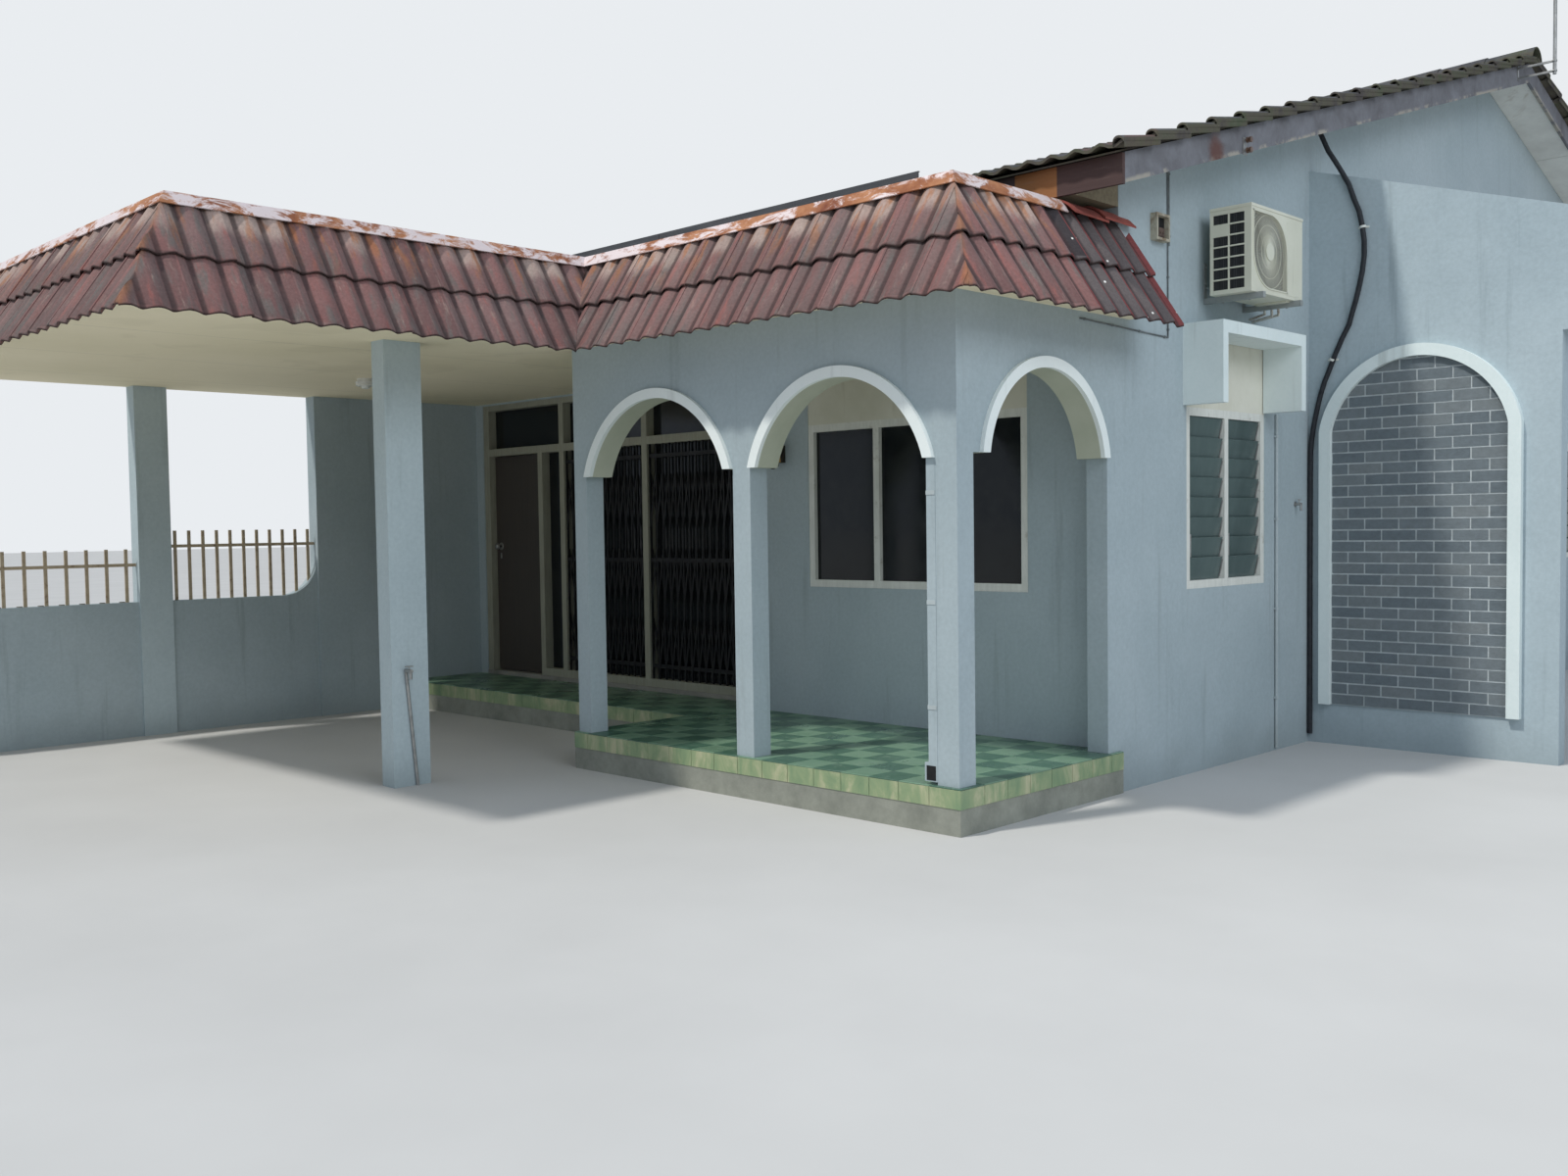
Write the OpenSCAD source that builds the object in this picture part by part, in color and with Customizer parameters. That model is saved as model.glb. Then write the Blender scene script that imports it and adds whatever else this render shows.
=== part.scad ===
/* [House] */
// Width of this half of the house, gable face to outer face of the party wall
house_w = 7020; // [6500:10:8200]
// Depth of the house, front wall face to rear wall face
house_d = 12090; // [11000:10:13500]
// Thickness of the outer brick walls
wall_t = 120; // [100:5:150]
// Thickness of the party wall
party_t = 140; // [120:5:180]
// Height of the house floor above the ground
floor_h = 275; // [255:5:330]
// How far the living room wall stands back from the bedroom wall
living_setback = 235; // [200:5:300]
// Width of the bedroom wall, gable face to the return
bedroom_w = 3090; // [2950:10:3200]

/* [Main roof] */
// Pitch of the main roof in degrees
roof_pitch = 16.3; // [15:0.1:18]
// Height of the fascia boards' lower edge above the kerb
eave_gap = 31; // [24:1:60]
// Thickness of battens and tiles, measured upright
roof_t = 70; // [60:5:90]
// Reach of the eaves beyond the front and rear wall faces
eaves = 505; // [450:5:560]
// Reach of the gable verge beyond the gable wall
verge = 330; // [280:5:380]
// Depth of the barge and fascia boards
board_h = 160; // [145:5:185]
// Thickness of the barge and fascia boards
board_t = 25; // [20:1:35]
// Reach of the tiles beyond the fascia and the barge board
tile_lap = 62; // [45:1:80]
// Thickness of the soffit boards
soffit_t = 10; // [6:1:14]
// Radius of the ridge tiles
ridge_r = 125; // [110:5:150]
// How far the ridge tiles rise above the tiles
ridge_up = 50; // [40:5:65]

/* [Eave gutter] */
// Width of the gutter outside
gutter_w = 200; // [180:5:240]
// Height of the gutter's tall front board
gutter_h = 220; // [200:5:250]
// Thickness of the gutter sheet
gutter_t = 6; // [4:1:10]
// Distance from the gable face to the gutter's stop end
gutter_stop = 870; // [600:10:1200]

/* [Porch] */
// Depth of the porch, its front face to the bedroom wall face
porch_d = 1505; // [1400:5:1700]
// Thickness of the porch walls and piers
porch_t = 134; // [115:1:150]
// Height of the porch floor above the ground
porch_floor_h = 240; // [200:5:250]
// How far the floor tiling stands out past the piers
floor_lip = 25; // [15:1:35]
// Width of the left pier
left_pier_w = 125; // [110:5:150]
// Width of the middle pier
mid_pier_w = 141; // [120:1:150]
// Width of the corner pier
corner_pier_w = 136; // [125:1:150]
// How much nearer the corner the middle pier stands than midway
arch_shift = 19; // [0:1:40]
// Distance from the concrete soffit down to the front arches' springing
spring_drop = 819; // [780:1:860]
// Distance from the concrete soffit down to the side arch's springing
side_spring_drop = 795; // [760:1:840]
// Rise of the front arches
arch_rise = 512; // [470:1:540]
// Rise of the side arch
side_arch_rise = 522; // [480:1:560]
// Width of the side wall between the corner pier and the side arch
side_pier_w = 53; // [40:1:80]
// Width of the jamb between the side arch and the bedroom wall
side_jamb_w = 128; // [120:1:160]
// Thickness of the arch mouldings
trim_t = 60; // [45:1:75]
// How far the arch mouldings stand proud of the wall
trim_proud = 25; // [15:1:35]
// Depth of the landing in front of the living room doors
landing_d = 780; // [700:10:900]

/* [Flat roofs] */
// Height of the concrete soffit above the ground
soffit_h = 2705; // [2650:5:2800]
// Thickness of the concrete slab
slab_t = 125; // [110:5:150]
// Height of the kerb's top above the skirt's upper edge
kerb_over = 50; // [40:1:60]
// How much lower the kerb runs under the eave of the main roof
kerb_step = 44; // [38:1:50]
// Thickness of the kerb
kerb_t = 100; // [80:5:120]
// Distance from the gable face to the car porch's kerb line
carport_in = 2945; // [2860:5:2990]
// Reach of the car porch towards the street beyond the porch face
carport_out = 2645; // [2400:5:2900]
// Width of the car porch column
column_w = 140; // [120:5:180]
// Depth of the car porch columns
column_d = 250; // [200:5:300]
// Distance from the gable face to the car porch column
column_in = 3372; // [3200:4:3500]
// Distance from the porch face to the car porch column's rear face
column_out = 935; // [800:5:1100]
// Distance from the porch face to the party column's rear face
party_column_out = 1070; // [900:5:1200]

/* [Tile skirt] */
// Reach of the skirt's lower edge beyond the wall line
skirt_out = 345; // [320:1:370]
// Distance from the concrete soffit down to the skirt's lower edge
skirt_drop = 55; // [40:1:70]
// Length of each of the two tile courses down the slope
course_l = 344; // [330:1:350]
// Step between the two courses
course_step = 22; // [15:1:30]
// Thickness of a tile course
course_t = 30; // [24:1:40]
// How far the side skirt runs past the gable corner
skirt_past = 115; // [60:5:160]
// Length of the flashing's sloping lip
flashing_lip = 80; // [60:5:100]
// Thickness of the flashing
flashing_t = 6; // [4:1:8]
// How far the metal flashing runs along the side kerb
flashing_side = 1000; // [800:10:1300]

/* [Windows] */
// Height of the window sills above the ground
sill_h = 1135; // [1100:5:1200]
// Height of the window heads above the ground
head_h = 2245; // [2200:5:2300]
// Distance from the concrete soffit down to the window panels' top
panel_drop = 10; // [5:1:40]
// Width of the bedroom window
window_w = 1810; // [1700:10:1900]
// Distance from the gable face to the bedroom window
window_in = 625; // [580:5:700]
// Width of the frame members
frame_w = 50; // [40:1:60]
// Depth of the window frames
frame_d = 60; // [50:1:70]
// How far the frames are set back from the wall face
frame_set = 5; // [3:1:20]
// Thickness of the glass
glass_t = 6; // [4:1:8]
// Width of the louvre windows
louvre_w = 1040; // [960:10:1100]
// Distance from the front wall face to the first louvre window
louvre_back = 770; // [740:5:820]
// Distance from the rear wall face to the second louvre window
louvre_fore = 3200; // [2800:10:3600]
// Number of glass blades in a light
blade_n = 8; // [7:1:9]
// Width of a glass blade
blade_w = 140; // [120:5:145]
// Tilt of the closed blades from upright in degrees
blade_tilt = 12; // [10:1:16]
// Reach of the window hood
hood_out = 262; // [230:1:300]
// Thickness of the hood's side fins
fin_t = 62; // [50:1:75]
// Distance the outer faces of the fins stand past the window's sides
fin_past = 40; // [30:1:50]
// Thickness of the hood's top slab
hood_t = 75; // [60:5:90]
// Height of the hood's lower edge above the window head
hood_over = 7; // [5:1:20]
// Height of the hood's top above the window panels' top
hood_up = 45; // [30:1:70]
// Distance from the party wall to the first rear window
rear_window_in = 700; // [600:10:900]
// Distance from the gable wall to the second rear window
rear_window_out = 900; // [800:10:1100]

/* [Living room doors] */
// Width of the pilaster beside the party wall
pilaster_w = 107; // [95:1:130]
// Width of the door frame members
door_frame_w = 65; // [55:1:75]
// Depth of the door frame
door_frame_d = 100; // [90:1:110]
// Width of the pier between the doors and the bedroom wall
right_pier_w = 257; // [230:1:300]
// Distance from the concrete soffit down to the door frame's top
entrance_drop = 15; // [10:1:40]
// Height of the transom bar's underside above the ground
transom_h = 2230; // [2200:5:2260]
// Clear width of the entrance doorway
doorway_w = 747; // [700:1:800]
// Clear width of the side light
sidelight_w = 250; // [200:1:300]
// Clearance around the door leaf
door_gap = 7; // [6:1:9]
// Thickness of the door leaf
door_t = 40; // [35:1:45]
// Radius of the door hinges' knuckles
knuckle_r = 8; // [6:0.5:10]
// Radius of the door hinges' pins
pin_r = 4; // [3:0.5:5]
// Length of a door hinge
hinge_l = 100; // [75:5:125]
// Height of the door knob above the ground
knob_h = 1410; // [1300:5:1450]
// Spacing of the grille's upright bars
bar_pitch = 75; // [60:1:100]
// Side of a grille bar
bar_s = 14; // [10:1:16]

/* [Party fence] */
// Height of the fence wall
fence_h = 1040; // [950:5:1100]
// Thickness of the fence wall
fence_t = 100; // [90:5:120]
// Length of the bay in front of the party column
fence_bay = 1630; // [1400:10:2000]
// Distance from the porch face to the tall wall's front end
tall_wall_in = 150; // [120:5:200]
// Radius of the scoop up to the tall wall
scoop_r = 300; // [250:5:340]
// Spacing of the front pickets
picket_pitch = 145; // [130:1:160]
// Spacing of the rear pickets
rear_picket_pitch = 112; // [100:1:125]
// Height of the front pickets
picket_h = 410; // [380:5:440]
// Height of the rear pickets
rear_picket_h = 550; // [500:5:600]
// Width of a picket
picket_w = 24; // [18:1:30]
// Thickness of a picket
picket_t = 12; // [8:1:16]
// Height of a fence rail
rail_h = 24; // [18:1:30]
// Distance from a picket's top to the rail
rail_drop = 110; // [90:5:130]

/* [Wing wall] */
// Distance from the front wall face to the wing wall
wing_back = 2481; // [2440:1:2600]
// Length of the wing wall
wing_w = 2750; // [2600:10:3000]
// Distance from the rafter line down to the wing wall's top at the gable
wing_drop = 403; // [360:1:450]
// Fall of the wing wall's top along its length
wing_fall = 850; // [750:5:900]
// Distance from the gable face to the doorway
gate_in = 1592; // [1560:1:1650]
// Width of the doorway
gate_w = 880; // [800:10:950]
// Height of the doorway
gate_h = 2690; // [2500:1:2720]
// Distance from the gable face to the blind arch's outer edge
blind_in = 92; // [80:1:110]
// Outer width of the blind arch
blind_w = 1285; // [1200:5:1320]
// Height of the blind arch's crown
blind_top = 2690; // [2600:1:2750]
// How much more the head's radius is than half the blind arch's width
head_over = 10; // [0:1:30]
// Height of the blind arch's foot
blind_low = 275; // [240:5:300]
// Width of the blind arch's band
blind_band = 78; // [70:1:95]
// How far the band stands proud of the wall
blind_proud = 48; // [35:1:55]
// Thickness of the brick facing
brick_t = 12; // [10:1:25]

/* [Fittings] */
// Width of the outdoor cooling unit
unit_w = 690; // [640:5:760]
// Height of the outdoor cooling unit
unit_h = 515; // [480:5:560]
// Depth of the outdoor cooling unit
unit_d = 265; // [240:5:300]
// Gap between the unit and the wall
unit_gap = 80; // [60:5:110]
// Height of the unit's underside above the window hood
unit_up = 175; // [150:5:200]
// Distance from the front wall face to the unit
unit_back = 915; // [860:5:960]
// Thickness of the wall bracket's steel angles
angle_s = 34; // [28:1:40]
// Width of the rainwater pipe
downpipe_w = 56; // [50:1:65]
// Radius of the black water pipe
pipe_r = 17; // [14:1:20]
// Radius of the tap's riser
tap_r = 10; // [8:1:12]
// Height of the tap on the column
tap_h = 720; // [650:5:800]
// Lean of the tap's riser in degrees
tap_lean = 5; // [0:0.5:8]
// Distance from the front wall face to the meter box
meter_back = 350; // [320:5:420]
// Width of the meter box
meter_w = 150; // [130:5:180]
// Height of the meter box
meter_h = 155; // [140:5:180]
// Depth of the meter box
meter_out = 45; // [36:1:60]
// Distance from the gable face to the ceiling lamp
lamp_in = 5390; // [5200:10:5600]
// Distance from the porch face to the ceiling lamp
lamp_out = 190; // [150:10:400]
// Radius of the ceiling lamp
lamp_r = 75; // [65:1:90]
// Distance from the bedroom wall's return to the wall lantern
lantern_in = 400; // [350:5:450]
// Height of the wall lantern above the ground
lantern_h = 2060; // [1950:5:2150]
// Radius of the wall lantern
lantern_r = 60; // [50:1:70]
// Radius of the mast tube
mast_r = 14; // [10:1:20]
// Height of the mast
mast_h = 1500; // [1200:50:2000]
// Distance of the mast from the barge board
mast_out = 280; // [200:10:350]
// Distance of the mast from the ridge
mast_in = 300; // [200:10:400]

/* [Hidden] */
$fn = 48;
eps = 1;
// Fitting gap between pieces that are cast or fixed against each other
fit = 0.3;
// Running clearance of the door's knuckles round their pins and between their ends
run_fit = 0.08;
// The frame: origin under the ridge at mid width, street towards -Y
gable_x = house_w / 2;
party_x = -house_w / 2;
front_y = -house_d / 2;
rear_y = house_d / 2;
porch_y = front_y - porch_d;
living_y = front_y + living_setback;
bedroom_x = gable_x - bedroom_w;
room_x = party_x + party_t;
pitch = tan(roof_pitch);
eave_y = house_d / 2 + eaves;
panel_top = soffit_h - panel_drop;
entrance_top = soffit_h - entrance_drop;
spring_h = soffit_h - spring_drop;
side_spring_h = soffit_h - side_spring_drop;
hood_low = head_h + hood_over;
hood_top = panel_top + hood_up;
unit_low = hood_top + unit_up;
carport_x = gable_x - carport_in;
carport_y = porch_y - carport_out;
skirt_rise = sqrt(pow(2 * course_l, 2) - pow(skirt_out, 2));
skirt_up = [-skirt_out / (2 * course_l), skirt_rise / (2 * course_l)];
skirt_n = [skirt_up.y, -skirt_up.x];
skirt_tail = [skirt_out, soffit_h - skirt_drop];
skirt_top = skirt_tail + 2 * course_l * skirt_up - course_step * skirt_n;
kerb_top = skirt_top.y + kerb_over;
board_z = kerb_top + eave_gap;
ridge_h = board_z + board_h + pitch * eave_y;
skirt_back = 75;
kerb_far = skirt_back + kerb_t;
entrance_x0 = room_x + pilaster_w;
entrance_x1 = bedroom_x - right_pier_w;
entrance_w = entrance_x1 - entrance_x0;
entrance_y = living_y + 10;
doorway_x0 = entrance_x0 + door_frame_w + 18;
doorway_x1 = doorway_x0 + doorway_w;
sidelight_x0 = doorway_x1 + door_frame_w;
sidelight_x1 = sidelight_x0 + sidelight_w;
bay_w = (entrance_x1 - sidelight_x1 - 3 * door_frame_w) / 2;
bay_x0 = sidelight_x1 + door_frame_w;
bay_x1 = bay_x0 + bay_w + door_frame_w;
door_y = entrance_y + door_frame_d - door_t;
hinge_y = door_y + door_t + knuckle_r + 1;
hinge_x = doorway_x1 - door_gap / 2;
hinge_z = [floor_h + 200, (floor_h + transom_h) / 2, transom_h - 200];
arches_w = bedroom_w - left_pier_w - mid_pier_w - corner_pier_w;
left_arch_w = arches_w / 2 + arch_shift;
mid_pier_x = bedroom_x + left_pier_w + left_arch_w;
right_arch_x = mid_pier_x + mid_pier_w;
right_arch_w = gable_x - corner_pier_w - right_arch_x;
side_arch_w = porch_d - porch_t - side_pier_w - side_jamb_w;
side_arch_y = front_y - side_jamb_w - side_arch_w;
fence_x = room_x - 20;
column_y = porch_y - column_out - column_d;
party_column_y = porch_y - party_column_out - column_d;
tall_wall_y = porch_y + tall_wall_in;
window_x = gable_x - window_in - window_w;
louvre_y = [front_y + louvre_back, rear_y - louvre_fore - louvre_w];
rear_windows = [room_x + rear_window_in, gable_x - wall_t - rear_window_out - window_w];
wing_y = front_y + wing_back;
wing_h = rafter(wing_y) - wing_drop;
blind_x = gable_x + blind_in;
blind_head_r = blind_w / 2 + head_over;
unit_y = front_y + unit_back;
unit_x = gable_x + unit_gap;

function rafter(y) = ridge_h - pitch * abs(y);
function lerp(a, b, t) = a + (b - a) * t;

// An upright sheet in the plane across the house, extruded along X
module along_x(x0, x1) {
    translate([x0, 0, 0]) rotate([90, 0, 90]) linear_extrude(x1 - x0) children();
}

// An upright sheet in the plane along the front, extruded along Y
module along_y(y0, y1) {
    translate([0, y1, 0]) rotate([90, 0, 0]) linear_extrude(y1 - y0) children();
}

module box(lo, hi) {
    translate(lo) cube(hi - lo);
}

// Segment of a circle over a given span and rise, shrunk all round, with legs below
module arch_segment(span, rise, shrink, legs) {
    r = (span * span / 4 + rise * rise) / (2 * rise);
    intersection() {
        translate([0, rise - r]) circle(r - shrink, $fn = 96);
        translate([-span, -legs]) square([2 * span, rise + legs + eps]);
    }
}

// Upright end wall of the house: level foot, top along both roof slopes
module gable_sheet(y0, y1) {
    polygon(concat([[y0, 0], [y1, 0], [y1, rafter(y1) - fit]],
                   y0 < 0 && y1 > 0 ? [[0, ridge_h - fit]] : [], [[y0, rafter(y0) - fit]]));
}

module house_floor() {
    color("dimgray") linear_extrude(floor_h)
        polygon([[room_x, living_y + wall_t], [entrance_x0, living_y + wall_t],
                 [entrance_x0, living_y], [entrance_x1, living_y],
                 [entrance_x1, living_y + wall_t], [bedroom_x + wall_t, living_y + wall_t],
                 [bedroom_x + wall_t, front_y + wall_t], [gable_x - wall_t, front_y + wall_t],
                 [gable_x - wall_t, rear_y - wall_t], [room_x, rear_y - wall_t]]);
}

module porch_floor() {
    color("darkseagreen") linear_extrude(porch_floor_h)
        polygon([[room_x, living_y], [room_x, living_y - landing_d],
                 [bedroom_x - floor_lip, living_y - landing_d],
                 [bedroom_x - floor_lip, porch_y - floor_lip],
                 [gable_x + floor_lip, porch_y - floor_lip], [gable_x + floor_lip, front_y],
                 [bedroom_x, front_y], [bedroom_x, living_y]]);
}

module gable_wall() {
    color("lightsteelblue") difference() {
        along_x(gable_x - wall_t, gable_x) gable_sheet(front_y, rear_y);
        for (y = louvre_y)
            box([gable_x - wall_t - eps, y, sill_h],
                [gable_x + eps, y + louvre_w, panel_top]);
    }
}

// Full height along the house, and up to the flat roof beside the car porch
module party_wall() {
    color("lightsteelblue") along_x(party_x, room_x) {
        gable_sheet(living_y, rear_y);
        translate([tall_wall_y, 0]) square([living_y - tall_wall_y + eps, soffit_h]);
    }
}

module rear_wall() {
    color("lightsteelblue") difference() {
        along_x(room_x, gable_x - wall_t) gable_sheet(rear_y - wall_t, rear_y);
        for (x = rear_windows)
            box([x, rear_y - wall_t - eps, sill_h], [x + window_w, rear_y + eps, panel_top]);
    }
}

module bedroom_wall() {
    color("lightsteelblue") difference() {
        union() {
            along_x(bedroom_x, gable_x - wall_t) gable_sheet(front_y, front_y + wall_t);
            along_x(bedroom_x, bedroom_x + wall_t) gable_sheet(front_y, living_y + wall_t);
        }
        box([window_x, front_y - eps, sill_h],
            [window_x + window_w, front_y + wall_t + eps, panel_top]);
    }
}

module living_wall_piers() {
    color("lightsteelblue") {
        along_x(room_x, entrance_x0) gable_sheet(living_y, living_y + wall_t);
        along_x(entrance_x1, bedroom_x) gable_sheet(living_y, living_y + wall_t);
    }
}

module living_wall_lintel() {
    color("lightsteelblue") intersection() {
        along_x(entrance_x0, entrance_x1) gable_sheet(living_y, living_y + wall_t);
        box([entrance_x0, living_y, entrance_top],
            [entrance_x1, living_y + wall_t, ridge_h]);
    }
}

module front_arch(x, w, shrink, legs) {
    translate([x + w / 2, spring_h]) arch_segment(w, arch_rise, shrink, legs);
}

module side_arch(shrink, legs) {
    translate([side_arch_y + side_arch_w / 2, side_spring_h])
        arch_segment(side_arch_w, side_arch_rise, shrink, legs);
}

module porch_front_wall() {
    color("lightsteelblue") along_y(porch_y, porch_y + porch_t) difference() {
        translate([bedroom_x, spring_h]) square([bedroom_w, soffit_h - spring_h]);
        front_arch(bedroom_x + left_pier_w, left_arch_w, 0, eps);
        front_arch(right_arch_x, right_arch_w, 0, eps);
    }
}

module porch_side_wall() {
    side_y = porch_y + porch_t;
    color("lightsteelblue") along_x(gable_x - porch_t, gable_x) {
        difference() {
            translate([side_y, side_spring_h])
                square([front_y - side_y, soffit_h - side_spring_h]);
            side_arch(0, eps);
        }
        translate([front_y - side_jamb_w - eps, porch_floor_h])
            square([side_jamb_w + eps, side_spring_h - porch_floor_h]);
    }
}

module porch_piers() {
    color("lightsteelblue") {
        for (p = [[bedroom_x, left_pier_w], [mid_pier_x, mid_pier_w]])
            box([p.x, porch_y, porch_floor_h], [p.x + p.y, porch_y + porch_t, spring_h]);
        box([gable_x - corner_pier_w, porch_y, porch_floor_h],
            [gable_x, porch_y + porch_t, spring_h]);
    }
}

module arch_trims() {
    color("whitesmoke") {
        for (a = [[bedroom_x + left_pier_w, left_arch_w], [right_arch_x, right_arch_w]])
            along_y(porch_y - trim_proud, porch_y + porch_t + trim_proud) difference() {
                front_arch(a.x, a.y, fit, 0);
                front_arch(a.x, a.y, trim_t, eps);
            }
        along_x(gable_x - porch_t - trim_proud, gable_x + trim_proud) difference() {
            side_arch(fit, 0);
            side_arch(trim_t, eps);
        }
    }
}

// Plan of the flat roof, its edges the given reach beyond the wall and kerb lines
module roof_plan(reach) {
    polygon([[gable_x + reach, porch_y - reach], [gable_x + reach, front_y + skirt_past],
             [gable_x, front_y + skirt_past], [gable_x, front_y], [bedroom_x, front_y],
             [bedroom_x, living_y], [party_x, living_y],
             [party_x, carport_y - reach], [carport_x + reach, carport_y - reach],
             [carport_x + reach, porch_y - reach]]);
}

// Horizontal reach of the skirt's inner face at a height
function skirt_inner(z) =
    let(low = skirt_tail - (course_t + course_step) * skirt_n)
    low.x - (z - low.y) * skirt_out / skirt_rise;

module flat_roof_slab() {
    drip_t = round(slab_t / 3);
    color("ivory") {
        translate([0, 0, soffit_h]) linear_extrude(drip_t)
            roof_plan(skirt_inner(soffit_h + drip_t) - 5);
        translate([0, 0, soffit_h + drip_t]) linear_extrude(slab_t - drip_t)
            roof_plan(skirt_inner(soffit_h + slab_t) - 5);
    }
}

// A profile drawn as reach and height, run along a wall line between two mitres:
// 1 at a hip, -1 at a valley, 0 at a square end
module skirt_run(start, dir, out, run, mitre0, mitre1) {
    wide = skirt_out + 60;
    deep = -kerb_far - 60;
    multmatrix([[dir.x, out.x, 0, start.x], [dir.y, out.y, 0, start.y], [0, 0, 1, 0]])
        intersection() {
            translate([-2 * wide, 0, 0]) rotate([90, 0, 90])
                linear_extrude(run + 4 * wide) children();
            linear_extrude(kerb_top + 500)
                polygon([[-mitre0 * deep, deep], [-mitre0 * wide, wide],
                         [run + mitre1 * wide, wide], [run + mitre1 * deep, deep]]);
        }
}

module porch_runs() {
    difference() {
        skirt_run([gable_x, porch_y], [0, 1], [1, 0], porch_d + skirt_past, 1, 0) children();
        box([gable_x - 2 * kerb_far, front_y - fit, 0],
            [gable_x + fit, front_y + 2 * skirt_past, 2 * kerb_top]);
    }
    skirt_run([carport_x, porch_y], [1, 0], [0, -1], carport_in, -1, 1) children();
}

module carport_runs() {
    skirt_run([carport_x, carport_y], [0, 1], [1, 0], carport_out, 1, -1) children();
    skirt_run([party_x, carport_y], [1, 0], [0, -1], carport_x - party_x, 0, 1) children();
}

module kerb_profile() {
    translate([-kerb_far, soffit_h + slab_t + fit])
        square([kerb_t, kerb_top - soffit_h - slab_t - fit]);
}

module roof_kerb() {
    color("lightgray") {
        difference() {
            porch_runs() kerb_profile();
            box([gable_x - 2 * kerb_far, porch_y + flashing_side, kerb_top - kerb_step],
                [gable_x, front_y + 2 * skirt_past, 2 * kerb_top]);
        }
        carport_runs() kerb_profile();
    }
}

// Two overlapping tile courses leaning on the kerb
module skirt_profile() {
    mid = skirt_tail + course_l * skirt_up;
    polygon([skirt_tail, mid - course_step * skirt_n, mid, skirt_top,
             [-skirt_back, skirt_top.y - 4], [-skirt_back, skirt_top.y - 40],
             skirt_top - course_t * skirt_n, skirt_tail - (course_t + course_step) * skirt_n]);
}

module tile_skirt() {
    color("indianred") {
        porch_runs() skirt_profile();
        carport_runs() skirt_profile();
    }
}

module flashing_profile() {
    tilt = atan2(skirt_rise, skirt_out) - 3.7;
    lip = [cos(tilt), -sin(tilt)];
    base = kerb_top + fit;
    bend = [skirt_top.x + 7 - kerb_over / tan(tilt), base];
    polygon([[-kerb_far - 10, base], bend, bend + flashing_lip * lip,
             bend + flashing_lip * lip + flashing_t * [-lip.y, lip.x],
             bend + [flashing_t, flashing_t], [-kerb_far - 10, base + flashing_t]]);
}

module cap_flashing() {
    color("peru") {
        intersection() {
            porch_runs() flashing_profile();
            box([party_x, porch_y - 2 * skirt_out, 0],
                [gable_x + skirt_out, porch_y + flashing_side, 2 * kerb_top]);
        }
        carport_runs() flashing_profile();
    }
}

module carport_columns() {
    color("lightsteelblue") {
        box([gable_x - column_in - column_w, column_y, 0],
            [gable_x - column_in, column_y + column_d, soffit_h]);
        box([room_x - column_w, party_column_y, 0],
            [room_x, party_column_y + column_d, soffit_h]);
    }
}

module fence_wall() {
    scoop_y = tall_wall_y - scoop_r;
    rear = party_column_y + column_d;
    color("lightsteelblue") {
        box([fence_x - fence_t, party_column_y - fence_bay, 0],
            [fence_x, party_column_y, fence_h]);
        difference() {
            box([fence_x - fence_t, rear, 0], [fence_x, tall_wall_y, fence_h + scoop_r]);
            box([fence_x - fence_t - eps, rear - eps, fence_h],
                [fence_x + eps, scoop_y, fence_h + 2 * scoop_r]);
            translate([fence_x - fence_t - eps, scoop_y, fence_h + scoop_r])
                rotate([0, 90, 0]) cylinder(h = fence_t + 2 * eps, r = scoop_r);
        }
    }
}

module fence_panel(y0, y1, h, pitch) {
    n = round((y1 - y0) / pitch);
    step = (y1 - y0) / n;
    mid_x = fence_x - fence_t / 2;
    for (i = [0.5:1:n - 0.5])
        box([mid_x - picket_t / 2, y0 + i * step - picket_w / 2, fence_h],
            [mid_x + picket_t / 2, y0 + i * step + picket_w / 2, fence_h + h]);
    box([mid_x - picket_t / 2 - 1, y0, fence_h + h - rail_drop - rail_h],
        [mid_x + picket_t / 2 + 1, y1, fence_h + h - rail_drop]);
}

// The space over the rear fence wall and its scoop
module over_scoop() {
    x0 = fence_x - fence_t;
    scoop_y = tall_wall_y - scoop_r;
    box([x0, party_column_y, fence_h], [fence_x, scoop_y, fence_h + 2 * rear_picket_h]);
    translate([x0, scoop_y, fence_h + scoop_r])
        rotate([0, 90, 0]) cylinder(h = fence_t, r = scoop_r - fit);
    box([x0, party_column_y, fence_h + scoop_r],
        [fence_x, tall_wall_y, fence_h + 2 * rear_picket_h]);
}

module fence_railing() {
    color("tan") {
        fence_panel(party_column_y - fence_bay + 40, party_column_y, picket_h,
                    picket_pitch);
        intersection() {
            fence_panel(party_column_y + column_d, tall_wall_y, rear_picket_h,
                        rear_picket_pitch);
            over_scoop();
        }
    }
}

// One slope of the main roof: battens and tiles from the ridge to the eave
module roof_slope(side) {
    out = eave_y + tile_lap;
    along_x(party_x, gable_x + verge + tile_lap)
        polygon([[0, ridge_h], [side * out, rafter(out)],
                 [side * out, rafter(out) + roof_t], [0, ridge_h + roof_t]]);
}

module main_roof_front() {
    color("dimgray") roof_slope(-1);
}

module main_roof_rear() {
    color("dimgray") roof_slope(1);
}

module ridge_tiles() {
    span = 2 * ridge_r;
    bed = ridge_h + roof_t + fit;
    color("gray") along_x(party_x, gable_x + verge + tile_lap) difference() {
        translate([0, ridge_h + roof_t + ridge_up - ridge_r]) circle(ridge_r);
        polygon([[0, bed], [-span, bed - span * pitch], [-span, ridge_h - span],
                 [span, ridge_h - span], [span, bed - span * pitch]]);
    }
}

// A band that follows both slopes, between two depths below the rafter line
module slope_band(top, bottom, out) {
    polygon([[-out, rafter(out) - top], [0, ridge_h - top], [out, rafter(out) - top],
             [out, rafter(out) - bottom], [0, ridge_h - bottom],
             [-out, rafter(out) - bottom]]);
}

module barge_boards() {
    color("slategray") along_x(gable_x + verge - board_t, gable_x + verge)
        slope_band(fit, board_h, eave_y - board_t);
}

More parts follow.
